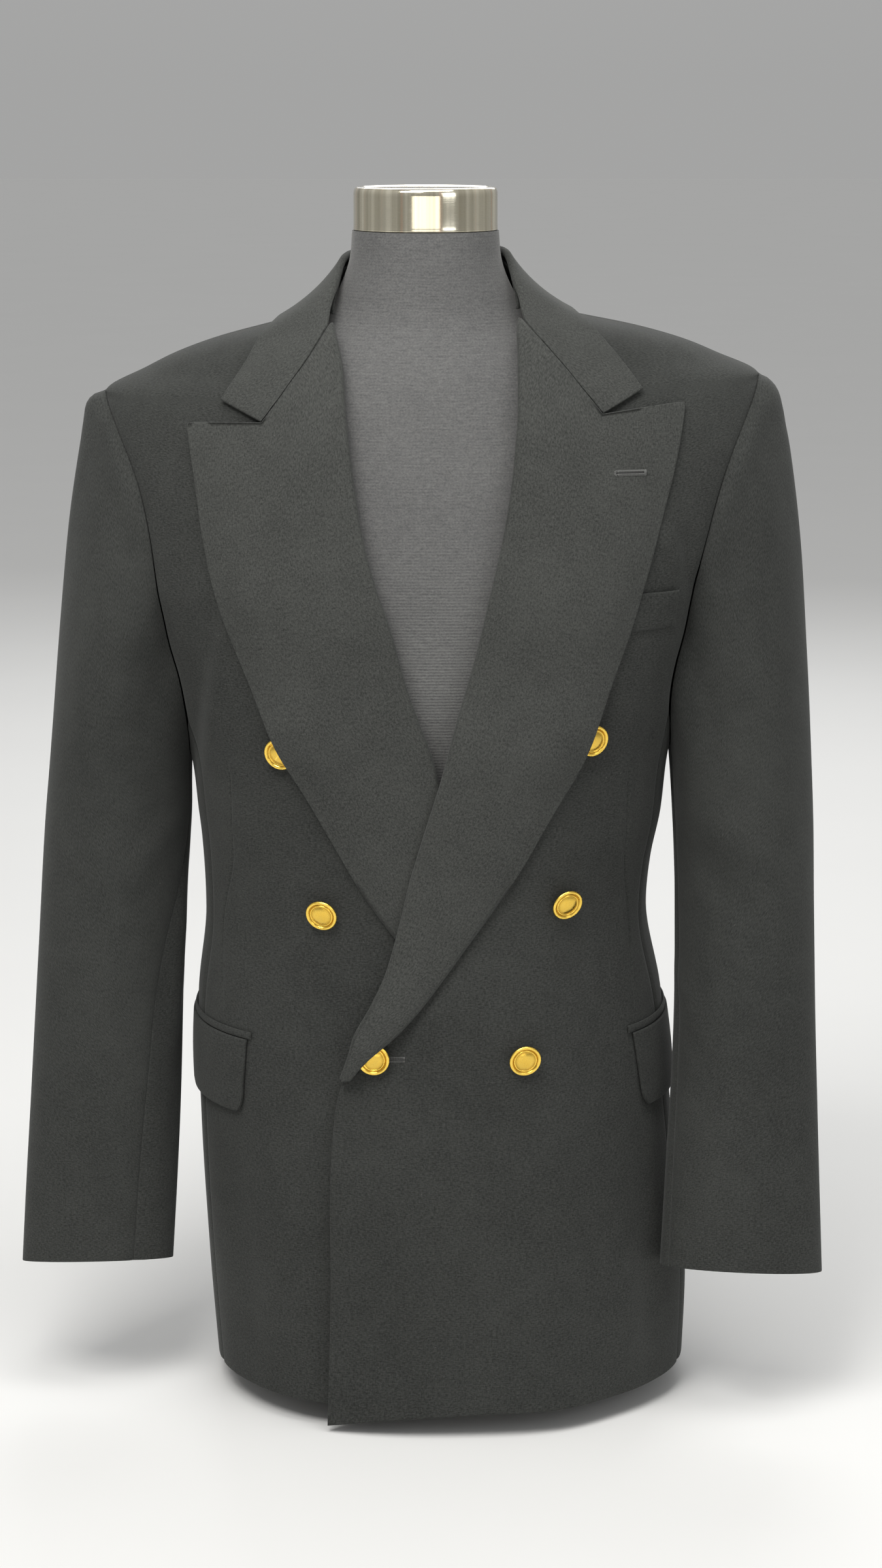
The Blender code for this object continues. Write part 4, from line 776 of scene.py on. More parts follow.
# ---------------------------------------------------------------- lapels
ROLL_RADIUS, ROLL_TUCK = 0.0032, 0.0034
ROLL_DEGREES = (0, 18, 36, 54, 72, 90)
LEAF_ROUND = 0.0009      # how far a lapel's or the collar's edge rounds off
LAPEL_SPRING = 0.0016    # belly of the leaf between roll line and edge
EDGE_CURL = 0.0012       # the leaf's outer edge turns down to its front
CURL_FROM = 0.80         # share of the width from which the edge curls
NARROW_LEAF = 0.03       # a leaf narrower than this is flatter
LEAF_FROM, NOTCH_COLUMNS = 0.04, 12   # first column past the roll, columns up to the notch
PEAK_WIDTH, PEAK_RADIUS = 0.06, 0.0030
GORGE_REACH = 0.020      # the top rows slope with the gorge from this far below it


def lapel_roll(outward):
    """Steps over the roll line: a half round, then a short tuck behind the front's edge."""
    thickness = LEAF_OUTSIDE - LEAF_INSIDE
    reach = ROLL_BEYOND - (0.0 if outward else thickness - SEAM_GAP)
    top = LEAF_OUTSIDE if outward else LEAF_INSIDE
    drop = ROLL_RADIUS if outward else ROLL_RADIUS - thickness
    steps = [(reach, top - drop - ROLL_TUCK), (reach, top - drop - 0.5 * ROLL_TUCK)]
    for turn in np.radians(ROLL_DEGREES):
        steps.append((reach - drop * (1 - math.cos(turn)), top - drop + drop * math.sin(turn)))
    return steps


def round_peak(side, x, height):
    """Rounds the lapel's peak, the corner between its top and its outer edge."""
    peak = LAPEL[side][-1]
    apart = np.hypot(x - peak.edge_across, height - peak.edge_height)
    pull = np.clip(1 - apart / (2.2 * PEAK_RADIUS), 0, 1) ** 2 * 0.42 * PEAK_RADIUS
    return x - pull * 0.75, height - pull * 0.65


def make_lapel(side, cloth):
    """Leaf turned out along the roll line, with a soft belly and waves."""
    notch = notch_share(side)
    first, last = LAPEL[side][0].roll_height, GORGE[1]
    roll_rows = first + (last - first) * spaced(last - first)
    leaf = np.concatenate([notch * np.linspace(LEAF_FROM, 1, NOTCH_COLUMNS),
                           notch + (1 - notch) * spaced(PEAK_WIDTH)[1:]])
    rolled = np.zeros(2 + len(ROLL_DEGREES))
    shares = np.concatenate([rolled, leaf])[None, :]
    roll_heights = np.repeat(roll_rows[:, None], shares.shape[1], axis=1)
    x, height = round_peak(side, *lapel_place(side, shares, roll_heights))
    width = read(LAPEL[side], "edge_across", roll_heights[:, :1]) - x[:, :1]
    narrow = np.minimum(1, width / NARROW_LEAF)
    spring = LAPEL_SPRING * np.sin(np.pi * np.clip(shares, 0, 1)) * narrow
    edge_curl = -EDGE_CURL * ramp(shares, CURL_FROM, 1.0) * narrow
    relief = crease_relief(LAPEL_WAVES[side], x, height) * (shares > 0) + spring + edge_curl
    lift = front_lift(side, x, height) + button_room(side, x, height) * (shares > 0)
    near_top = ramp(roll_rows, GORGE[1] - GORGE_REACH, GORGE[1])[:, None]
    grids = []
    for outward in (True, False):
        steps = np.array(lapel_roll(outward))
        beyond = np.concatenate([steps[:, 0], np.zeros(len(leaf))]) * np.ones_like(x)
        out = np.concatenate([steps[:, 1], np.full(len(leaf), steps[-1, 1])])
        level = height + GORGE_RISE * beyond * near_top
        angle = SIDE_SIGN[side] * angle_at(x - beyond, level)
        grids.append(skin(angle, level, lift + out + relief, draped=False))
    cloth_wall("lapel_" + side, *grids, cloth, ["front_" + side + "_cloth"], round_off=LEAF_ROUND,
               slot="facing", held="folded")


# ---------------------------------------------------------------- collar
FALL_SHARES = tuple(np.concatenate([np.linspace(FALL_FROM, 0.975, 11), [1.0]]))
ROLL_PARTS = (1.0, 0.83, 0.67, 0.5, 0.33, 0.17, 0.0)     # steps of the turn over the top
FALL_ROWS, LYING_ROWS, STAND_ROWS = 60, 16, 50
STAND_FOOT_RISE, STAND_WIDTH = 0.0006, 0.034


def rolled_steps(turn, outward):
    """Steps round the fall's turned-over top, which opens out towards the gorge."""
    bend = math.radians(float(read(COLLAR_BEND, "degrees", turn)))
    arc, start, tail = (float(read(COLLAR_BEND, column, turn)) for column in ("arc", "start", "tail"))
    radius = arc / bend
    reach = radius + (outward - 0.5) * FACED
    steps = []
    for part, run in ((1.0, tail),) + tuple((part, 0.0) for part in ROLL_PARTS):
        heading = part * bend
        along = start - reach * math.sin(heading) - run * math.cos(heading)
        inward = 0.5 * FACED + radius - reach * math.cos(heading) + run * math.sin(heading)
        steps.append((along, -inward))
    return steps


def collar_profile_rows(sign, turns, outward):
    """Rows of the fall between centre back and the gorge, rolled at the top."""
    fine = np.linspace(0, COLLAR[-1].turn, 200)
    middle = 0.5 * (collar_line(fine, "roll") + collar_line(fine, "edge"))
    heading = np.stack([np.interp(turns, fine, np.gradient(middle[:, k])) for k in range(3)], axis=-1)
    start, end = collar_line(turns, "roll"), collar_line(turns, "edge")
    length = np.linalg.norm(end - start, axis=-1)
    down = (end - start) / length[:, None]
    normal = unit(np.cross(unit(heading), down))
    rows = []
    for r, turn in enumerate(turns):
        steps = rolled_steps(turn, outward)
        for share in FALL_SHARES:
            hollow = 4 * share * (1 - share) * float(read(COLLAR, "hollow", turn))
            steps.append((share * length[r], (outward - 1) * FACED - hollow))
        rows.append([start[r] + down[r] * along + normal[r] * out for along, out in steps])
    points = np.array(rows)
    points[..., 0] *= sign
    return hang(points)


def collar_lying_rows(sign, outward):
    """Rows of the fall from the gorge to the notch, where it lies flat on the front."""
    t = np.linspace(0, 1, LYING_ROWS)[:, None]
    rolled = np.linspace(0, FALL_SHARES[0], len(ROLL_PARTS) + 2)[:-1]
    share = np.concatenate([rolled, FALL_SHARES])[None, :]
    gorge, notch, square, high, tip = map(np.array, (GORGE, NOTCH, GORGE_SQUARE, COLLAR_EDGE_HIGH,
                                                     COLLAR_TIP))
    start = gorge + (notch - gorge) * t + GORGE_GAP * square
    end = high + (tip - high) * t
    at = start[:, None] + (end - start)[:, None] * share[..., None]
    x, height = at[..., 0], at[..., 1]
    return skin(sign * angle_at(x, height), height, LAY_GAP + outward * FACED, draped=False)


def make_collar_fall(cloth):
    turns = np.linspace(0, COLLAR_LAST_TURN, FALL_ROWS)
    grids = []
    for outward in (1.0, 0.0):
        right, left = (np.concatenate([collar_profile_rows(sign, turns, outward),
                                       collar_lying_rows(sign, outward)]) for sign in (-1.0, 1.0))
        grids.append(np.concatenate([right[::-1], left[1:]]))
    cloth_wall("collar_fall", *grids, cloth, ["front_left_cloth", "front_right_cloth"],
               round_off=LEAF_ROUND, slot="facing", held="folded")


def make_collar_stand(cloth):
    turns = np.linspace(0, STAND_END_TURN, STAND_ROWS)
    angle = np.where(turns < COLLAR_SIDE_TURN, math.pi - turns / COLLAR_SIDE_TURN * math.pi / 2,
                     math.pi / 2 - (turns - COLLAR_SIDE_TURN) * STAND_FRONT_SWEEP)
    x, y = ring(BODY, angle, np.full_like(angle, SHOULDER_TOP))
    foot = np.stack([x, y, np.full_like(x, SHOULDER_TOP + STAND_FOOT_RISE)], axis=-1)
    head = collar_line(turns, "roll")
    inward = unit(head * np.array([1, 1, 0])) * STAND_INSET
    head = head - inward - np.array([0, 0, STAND_BELOW_ROLL])
    share = spaced(STAND_WIDTH)[None, :, None]
    half = foot[:, None] - inward[:, None] * 0.25 * (1 - share) + (head - foot)[:, None] * share
    middle = hang(np.concatenate([half[:0:-1] * np.array([-1, 1, 1]), half]))
    wall = grid_normals(middle) * 0.5 * STAND_CLOTH
    cloth_wall("collar_stand", middle + wall, middle - wall, cloth, ["form_torso_jersey"], ("start",),
               TRIM_ROUND)


# ---------------------------------------------------------------- sleeves
SLEEVE_STEP = 0.0058     # distance between a sleeve's rows
ARMHOLE_STEP = 0.0062    # distance between its columns at the armhole
FOOT_SHARES = (0.15, 0.35, 0.6, 0.85)             # columns round the armhole's lower arc
TOP_DROPS = (0.0030, 0.0013, 0.0004, 0.0)         # columns just below the shoulder point
FOLD_RADIUS = 0.052      # sleeve radius at which a fold's sideways run is worked out
CROTCH_DEGREES = (110, 160)                       # swing over which the sleeve moves off the side panel
SETTLE_SHARE = 0.35      # share of the sleeve over which its columns spread evenly
FOLDS_IN = (0.008, 0.06)                          # distance from the armhole where folds fade in
CUFF_CALM, CUFF_SHARE = 0.03, 0.6                 # folds lose this share in the last stretch
HEAD_DEGREES = (120, 40)                          # swing over which the head's fullness grows
HEAD_IN, HEAD_OUT = 0.009, 0.012                  # distances between which it is fullest


def fine_armhole():
    """Samples round the armhole, finer than the solid's: swing in degrees, height, whether behind."""
    spread = math.pi / 2 - float(armhole_angle(SIDE_PANEL_TOP))
    lows = [armhole_height(spread * share) for share in FOOT_SHARES]
    heights = np.array(lows + list(between(ARM_MARKS, ARMHOLE_STEP)))
    top = ARMHOLE_TOP - np.array(TOP_DROPS)
    heights = np.concatenate([heights[heights < top[0] - 0.002], top])
    around = np.concatenate([heights, heights[-2::-1], [ARMHOLE_FOOT]])
    behind = np.arange(len(around)) >= len(heights)
    swing = np.degrees(np.arccos(2 * (around - ARMHOLE_FOOT) / (ARMHOLE_TOP - ARMHOLE_FOOT) - 1))
    return np.where(behind, -swing, swing), around, behind


def sleeve_folds(side, degrees, height):
    """Soft folds of a sleeve: troughs and ridges along short lines on its surface."""
    table = SLEEVE[side]
    radius = 0.5 * (read(table, "outer", height) - read(table, "inner", height))
    total = np.zeros_like(height)
    for fold in SLEEVE_FOLDS[side]:
        swing = (degrees - fold.degrees0 + 180) % 360 - 180
        end = math.radians(fold.degrees1 - fold.degrees0) * FOLD_RADIUS
        line = (Crease(0.0, fold.height0, end, fold.height1, fold.width, fold.depth),)
        total += crease_relief(line, np.radians(swing) * radius, height)
    return total


def sleeve_surface(side):
    """Outside of the whole sleeve, its outward normals and the column of the back seam."""
    degrees, heights, behind = fine_armhole()
    angle = armhole_angle(heights)
    angle = SIDE_SIGN[side] * np.where(behind, math.pi - angle, angle)
    start = skin(angle, heights)
    body_normal = skin_normal(angle, heights)
    along_seam = np.roll(start, -1, axis=0) - np.roll(start, 1, axis=0)
    into_hole = unit(np.cross(along_seam, body_normal))
    into_hole *= np.sign(np.sum(into_hole * (start.mean(axis=0) - start), axis=-1))[:, None]
    crotch = ramp(np.abs(degrees), *CROTCH_DEGREES)
    start = start + into_hole * 0.5 * SEAM_GAP + body_normal * (CROTCH_GAP * crotch)[:, None]

    length = ARMHOLE_TOP - CUFF_HEIGHT[side]
    steps = np.linspace(0, 1, int(length / SLEEVE_STEP))
    steps = steps * (0.35 + 0.65 * steps ** 0.6)
    cuff_line = EDGE_LINE / length
    steps = np.concatenate([steps[:1], [cuff_line], steps[1:-1], [1 - cuff_line, 1.0]])[:, None]
    first_back = int(np.argmin(np.abs(degrees - ELBOW_DEGREES)))
    turn = np.radians(even_degrees(side, CUFF_HEIGHT[side], first_back, len(degrees)))
    cuff = CUFF_HEIGHT[side] - CUFF_SLANT[side] * np.cos(turn) + CUFF_LIFT[side] * np.sin(turn)
    height = start[:, 2] + (cuff - start[:, 2]) * steps
    even = even_degrees(side, height, first_back, len(degrees))
    turned = degrees + (even - degrees) * ramp(steps, 0, SETTLE_SHARE)
    hang_off = start - sleeve_section(side, degrees, start[:, 2])
    keep = np.clip(1 - steps / SLEEVE_HEAD_SHARE, 0, 1)[..., None] ** 2
    points = sleeve_section(side, turned, height) + hang_off * keep

    around = np.roll(points, -1, axis=1) - np.roll(points, 1, axis=1)
    normal = unit(np.cross(np.gradient(points, axis=0), around))
    outward = points - points.mean(axis=1, keepdims=True)
    normal *= np.where(np.sum(normal * outward, axis=-1, keepdims=True).mean() < 0, -1, 1)
    toward = np.maximum(np.sum(normal[0] * into_hole, axis=-1, keepdims=True), 0)
    normal[0] = unit(normal[0] - into_hole * toward)
    along = edge_distance(points, "foot")
    folds = sleeve_folds(side, turned, height) * ramp(along, *FOLDS_IN)
    near_cuff = ramp(height, CUFF_HEIGHT[side] + CUFF_CALM, CUFF_HEIGHT[side])
    folds = folds * (1 - CUFF_SHARE * near_cuff)
    top = ramp(np.abs(degrees), *HEAD_DEGREES)
    head = HEAD_ROLL * top * ramp(along, 0.0, HEAD_IN) * (1 - ramp(along, HEAD_OUT, HEAD_ROLL_DROP))
    return points + normal * (folds + head)[..., None], normal, first_back


def seamed(grid):
    """Grid with its two long sides moved in for the seam, and a line close inside each."""
    first = grid[:, 0] + unit(grid[:, 1] - grid[:, 0]) * 0.5 * SEAM_GAP
    last = grid[:, -1] + unit(grid[:, -2] - grid[:, -1]) * 0.5 * SEAM_GAP
    near_first = first + unit(grid[:, 1] - first) * EDGE_LINE
    near_last = last + unit(grid[:, -2] - last) * EDGE_LINE
    return np.concatenate([first[:, None], near_first[:, None], grid[:, 1:-1], near_last[:, None],
                           last[:, None]], axis=1)


def make_sleeve(side, cloth):
    points, normal, first_back = sleeve_surface(side)
    order = list(range(points.shape[1])) + [0]
    for name, use in (("top_sleeve", order[:first_back + 1]), ("under_sleeve", order[first_back:])):
        outer, out = points[:, use], normal[:, use]
        distance = np.minimum(edge_distance(outer, "end"), edge_distance(outer, "start"))
        outer = outer + out * seam_dip(distance)[..., None]
        cloth_wall(name + "_" + side, seamed(outer), seamed(outer - out * CLOTH), cloth,
                   ["front_" + side + "_cloth"], ("foot", "start", "end"))


# ---------------------------------------------------------------- pockets
FLAP_LENGTH, JET_LENGTH = 0.12, 0.13     # how long the flap and the jet are, for their columns
FLAP_ROUND = 0.0008
FLAP_STEP, FLAP_EDGE = 0.0035, 0.004     # grid step, and how far in the flap reaches its fullness
SLANT_REACH = 0.25                       # radians over which the flap's front end slants
FLAP_SWELL, FLAP_BELLY = 0.0006, 0.0007  # a flap is fuller inside its edges and in its middle
JET_CROWN = 0.38                         # share of a jet's thickness that is its round back
WELT_LENGTH, WELT_WIDTH = 0.10, 0.027    # for its rows and columns
WELT_GAPE, WELT_SINK = 0.0022, 0.0006    # the welt stands open at its end, and sinks at its foot
WELT_GAPE_ACROSS = (0.150, 0.168)        # sideways places between which it opens


def make_pocket(side, cloth):
    sign = SIDE_SIGN[side]
    under = ["front_" + side + "_cloth"]
    start = float(angle_at(FLAP_FRONT[side], FLAP_TOP))
    width = float(read(BODY, "half_width", FLAP_TOP))
    share = spaced(FLAP_LENGTH, FLAP_STEP)[None, :]
    angle = start + (FLAP_END_ANGLE - start) * share
    rise = spaced(FLAP_HEIGHT, FLAP_STEP)[:, None]
    corner = np.minimum(angle - angle.min(), angle.max() - angle) * width
    rounding = FLAP_CORNER * (1 - np.sqrt(1 - np.clip(1 - corner / FLAP_CORNER, 0, 1) ** 2))
    bottom = FLAP_TOP - FLAP_HEIGHT + rounding
    heights = bottom + (FLAP_TOP - bottom) * rise
    slant = FLAP_SLANT * (1 - rise) * (1 - ramp(angle - angle.min(), 0, SLANT_REACH))
    edge = np.minimum(np.minimum(share, 1 - share) * FLAP_LENGTH, rise * FLAP_HEIGHT)
    belly = FLAP_BELLY * np.sin(np.pi * share) * np.sin(np.pi * rise)
    full = FLAP_SWELL * ramp(edge, 0.0, FLAP_EDGE) + belly
    lift = FLAP_OUT + FLAP_STAND_OFF * (1 - rise)
    turn = sign * (angle + slant)
    cloth_wall("flap_" + side, skin(turn, heights, lift + FLAP_CLOTH + full), skin(turn, heights, lift),
               cloth, under, round_off=FLAP_ROUND)
    start = float(angle_at(FLAP_FRONT[side] - JET_OVERHANG, FLAP_TOP))
    turn = sign * (start + (FLAP_END_ANGLE - start) * spaced(JET_LENGTH, 0.004, 0.0008)[None, :])
    rise = spaced(JET_HEIGHT, 0.0012, 0.0005)[:, None]
    crown = JET_CLOTH * (1 - JET_CROWN + JET_CROWN * np.sin(np.pi * rise))
    turn, heights = np.broadcast_arrays(turn, FLAP_TOP + SEAM_GAP + JET_HEIGHT * rise)
    cloth_wall("jet_" + side, skin(turn, heights, SEAM_GAP * 2 + crown), skin(turn, heights, SEAM_GAP * 2),
               cloth, under, round_off=TRIM_ROUND)


def make_welt(cloth):
    x = WELT.across_from + (WELT.across_to - WELT.across_from) * spaced(WELT_LENGTH, 0.003)[None, :]
    heights = WELT.height_from + (WELT.height_to - WELT.height_from) * spaced(WELT_WIDTH, 0.0025)[:, None]
    x, heights = np.broadcast_arrays(x, heights)
    angle = angle_at(x, heights)
    rise = (heights - WELT.height_from) / (WELT.height_to - WELT.height_from)
    gape = WELT_GAPE * ramp(rise, 0.3, 1.0) * ramp(x, *WELT_GAPE_ACROSS)
    base = front_lift("left", x, heights) + WELT_OFF - WELT_SINK * (1 - ramp(rise, 0.0, 0.2)) + gape
    cloth_wall("breast_welt", skin(angle, heights, base + WELT_CLOTH, draped=False),
               skin(angle, heights, base, draped=False), cloth, ["front_left_cloth"],
               round_off=TRIM_ROUND)


# ---------------------------------------------------------------- buttons
BUTTON_FACETS = 72
BUTTON_FINE = table_of(Turned,  # half section of the metal shell
    (0.0000, 0.0004), (0.0070, 0.0004), (0.0102, 0.0002), (0.0110, 0.0005), (0.01145, 0.0010),
    (0.0115, 0.0015), (0.01130, 0.0021), (0.01085, 0.0025), (0.01020, 0.0026), (0.00955, 0.0024),
    (0.00915, 0.0020), (0.00890, 0.00155), (0.00860, 0.00150), (0.00835, 0.00175), (0.00815, 0.0021),
    (0.00780, 0.00225), (0.00745, 0.0020), (0.00715, 0.0017), (0.0066, 0.00195), (0.0055, 0.00245),
    (0.0042, 0.00285), (0.0028, 0.0031), (0.0014, 0.00325), (0.0000, 0.0033),
)
SHANK_WIRE = 0.0007      # radius of the metal loop behind a button
SHANK_HALF_WIDTH = 0.0022
SHANK_SUNK, SHANK_REACH = 0.0006, 0.8             # how deep it sits in the disc, share of the stem it fills
STRANDS, STRAND_SPACING, STRAND_THREAD = 4, 0.0007, 0.00035


def button_axes(button):
    """Foot point on the cloth, the axes of a drooping button and the length of its shank."""
    angle = np.array(SIDE_SIGN[button.front] * float(angle_at(button.across, button.height)))
    height = np.array(button.height)
    lift = front_lift(button.front, np.array(button.across), height)
    foot = skin(angle, height, lift)
    normal = skin_normal(angle, height)
    up = unit(np.array([0.0, 0.0, 1.0]) - normal * normal[2])
    tilt = math.radians(button.tilt_degrees)
    axis = normal * math.cos(tilt) - up * math.sin(tilt)
    top = normal * math.sin(tilt) + up * math.cos(tilt)
    shank = SHANK_CLEAR + BUTTON_RADIUS * math.sin(tilt)
    return foot + normal * SHANK_FOOT, axis, np.cross(top, axis), top, shank


def turned_faces(rings, sides):
    faces = []
    for r in range(rings - 1):
        for c in range(sides):
            after = (c + 1) % sides
            faces.append((r * sides + c, r * sides + after, (r + 1) * sides + after, (r + 1) * sides + c))
    return faces


def turned_solid(name, profile, centre, axis, right, top, sides, finish):
    """Solid of revolution whose profile starts and ends on its axis."""
    turns = np.arange(sides) / sides * 2 * math.pi
    around = np.cos(turns)[:, None] * right + np.sin(turns)[:, None] * top
    vertices = []
    for step in profile[1:-1]:
        vertices += list(centre + axis * step.level + step.radius * around)
    faces = turned_faces(len(profile) - 2, sides)
    first, last = len(vertices), len(vertices) + 1
    base = len(vertices) - sides
    vertices += [centre + axis * profile[0].level, centre + axis * profile[-1].level]
    for c in range(sides):
        after = (c + 1) % sides
        faces.append((first, after, c))
        faces.append((last, base + c, base + after))
    return add_mesh(name, vertices, faces, finish)


def tube(points, radius, sides=8):
    """Vertices and faces of a tube along points, closed at both ends."""
    points = np.asarray(points, float)
    ahead = unit(np.gradient(points, axis=0))
    guide = np.array([0.0, 0.0, 1.0]) if abs(ahead[:, 2]).mean() < 0.9 else np.array([1.0, 0.0, 0.0])
    one = unit(np.cross(ahead, guide))
    two = np.cross(ahead, one)
    turns = np.arange(sides) / sides * 2 * math.pi
    rings = points[:, None] + radius * (np.cos(turns)[None, :, None] * one[:, None]
                                        + np.sin(turns)[None, :, None] * two[:, None])
    last = (len(points) - 1) * sides
    ends = [tuple(range(sides))[::-1], tuple(last + c for c in range(sides))]
    return rings.reshape(-1, 3), turned_faces(len(points), sides) + ends


def join_parts(name, parts, finish):
    """One mesh from several (vertices, faces) pairs."""
    vertices, faces, base = [], [], 0
    for some, sides in parts:
        vertices.append(some)
        faces += [tuple(base + k for k in face) for face in sides]
        base += len(some)
    return add_mesh(name, np.concatenate(vertices), faces, finish)


def make_button(button, gold, thread):
    base, axis, right, top, shank = button_axes(button)
    disc = turned_solid(button.name + "_metal", BUTTON_FINE, base + axis * shank, axis, right, top,
                        BUTTON_FACETS, gold)
    declare(disc, button.name)
    loop = []
    for turn in np.linspace(0, math.pi, 12):
        back = shank + SHANK_SUNK - SHANK_REACH * shank * math.sin(turn)
        loop.append(base + axis * back + right * SHANK_HALF_WIDTH * math.cos(turn))
    declare(join_parts(button.name + "_shank", [tube(loop, SHANK_WIRE)], gold))
    strands = []
    for k in range(STRANDS):
        lean = STRAND_SPACING * (k - 0.5 * (STRANDS - 1))
        strands.append(tube([base - axis * 0.0008 + top * lean + right * 0.3 * lean,
                             base + axis * 0.30 * shank + top * 0.5 * lean,
                             base + axis * 0.55 * shank + top * 0.2 * lean], STRAND_THREAD, 6))
    declare(join_parts(button.name + "_thread", strands, thread))


# ---------------------------------------------------------------- sewing that shows
HOLE_LIP = 0.00062       # half the width of a buttonhole's purled lip
PURL_STEP, PURL_THREAD = 0.00075, 0.00033
PURL_SUNK = -0.0002      # where a stitch goes into the cloth
HOLE_EYE = 0.0013        # radius of its round eye
EYE_SHIFT, LIP_FROM = 0.2, 1.4   # middle of the eye and start of the lips, in eye radii
EYE_DEGREES = range(40, 330, 24)
SLIT_RADIUS, SLIT_HEIGHT = 0.00042, 0.0001
Stitch = namedtuple("Stitch", "ahead aside out")  # ahead in steps, aside and out in metres
PURL = table_of(Stitch, (0.1, 0.00025, PURL_SUNK), (0.0, 0.00045, 0.00042),
                (0.0, 0.0006 + HOLE_LIP, 0.00034), (-0.1, 0.0008 + 2 * HOLE_LIP, PURL_SUNK))
EYE_PURL = ((0.55, PURL_SUNK), (0.8, 0.00045), (1.35, 0.00032), (1.65, PURL_SUNK))    # in eye radii, out
BAR = ((-0.0019, PURL_SUNK), (-0.0012, 0.0006), (0.0012, 0.0006), (0.0019, PURL_SUNK))    # aside, out
BAR_STITCHES, BAR_STEP = 3, 0.0005
LEAF_WIDTH = 0.112       # width of the lapel at its buttonhole
Hole = namedtuple("Hole", "name x0 h0 x1 h1 surface")
BUTTONHOLES = (
    Hole("lapel_buttonhole", 0.1252, 0.6898, 0.1443, 0.6893, "lapel"),
    Hole("front_buttonhole", -0.0400, 0.2832, -0.0185, 0.2834, "front"),
)


def on_left_side(surface, x, height, out):
    """Point on the left lapel's or the left front's face."""
    lift = front_lift("left", x, height)
    if surface == "front":
        return skin(angle_at(x, height), height, lift + out)
    share = np.clip((x - read(EDGE["left"], "across", height + 0.03)) / LEAF_WIDTH, 0, 1)
    lift = lift + LEAF_OUTSIDE + crease_relief(LAPEL_WAVES["left"], x, height)
    lift = lift + LAPEL_SPRING * np.sin(np.pi * share) - EDGE_CURL * ramp(share, CURL_FROM, 1.0)
    return skin(angle_at(x, height), height, lift + out, draped=False)


def make_buttonhole(hole, thread, dark):
    """Slit with a purled lip on each side, a round eye at one end and a bar at the other."""
    start = np.array([hole.x0, hole.h0])
    length = math.hypot(hole.x1 - hole.x0, hole.h1 - hole.h0)
    ahead = (np.array([hole.x1, hole.h1]) - start) / length
    beside = np.array([-ahead[1], ahead[0]])

    def stitch(places):
        path = []
        for along, aside, out in places:
            x, height = start + ahead * along + beside * aside
            path.append(on_left_side(hole.surface, x, height, out))
        return path

    parts = []
    for side in (-1.0, 1.0):
        for along in np.arange(HOLE_EYE * LIP_FROM, length, PURL_STEP):
            parts.append(stitch((along + at.ahead * PURL_STEP, side * at.aside, at.out) for at in PURL))
    for turn in np.radians(EYE_DEGREES):
        parts.append(stitch((HOLE_EYE * (EYE_SHIFT + reach * math.cos(turn)),
                             HOLE_EYE * reach * math.sin(turn), out) for reach, out in EYE_PURL))
    for k in range(BAR_STITCHES):
        parts.append(stitch((length + BAR_STEP * k, aside, out) for aside, out in BAR))
    stitches = [tube(path, PURL_THREAD, 6) for path in parts]
    declare(join_parts(hole.name + "_thread", stitches, thread))
    slit = stitch((along, 0.0, SLIT_HEIGHT) for along in np.linspace(0, length, 24))
    declare(join_parts(hole.name + "_slit", [tube(slit, SLIT_RADIUS, 6)], dark))


# ---------------------------------------------------------------- dress form
FORM_FACETS, CAP_FACETS = 160, 128
FORM_FOOT = (0.0, 0.0006, 0.0016, 0.0028)         # rows round the base's edge
FORM_HIDDEN, FORM_SEEN, FORM_TOP = (0.004, 0.035, 0.70), (0.70, 0.8530), 0.8536   # heights
CAP_FINE = table_of(Turned,  # half section of the neck cap
    (0.0000, 0.8538), (0.0500, 0.8538), (0.0511, 0.8540), (0.05145, 0.8544), (0.05150, 0.8550),
    (0.05138, 0.8562), (0.05130, 0.8580), (0.05128, 0.8680), (0.05130, 0.8785), (0.05122, 0.8802),
    (0.05090, 0.8818), (0.05035, 0.8830), (0.04955, 0.8837), (0.04850, 0.8840), (0.04700, 0.8839),
    (0.04560, 0.8833), (0.04400, 0.8830), (0.0000, 0.8830),
)


def make_form(jersey, metal):
    turns = np.arange(FORM_FACETS) / FORM_FACETS * 2 * math.pi - math.pi
    heights = np.concatenate([FORM_FOOT, between(FORM_HIDDEN, 0.008), between(FORM_SEEN, 0.0035)[1:],
                              [FORM_TOP]])
    rings = []
    for height in heights:
        level = np.full_like(turns, height)
        rings.append(np.stack([*ring(FORM, turns, level), level], axis=-1))
    last = (len(heights) - 1) * FORM_FACETS
    faces = turned_faces(len(heights), FORM_FACETS)
    faces += [tuple(range(FORM_FACETS))[::-1], tuple(last + c for c in range(FORM_FACETS))]
    body = add_mesh("form_torso_jersey", np.concatenate(rings), faces, jersey)
    body.data.set_sharp_from_angle(angle=math.radians(60))
    declare(body, "form_torso")
    right, back, up = np.eye(3)
    cap = turned_solid("neck_cap_metal", CAP_FINE, np.zeros(3), up, right, back, CAP_FACETS, metal)
    declare(cap, "neck_cap")


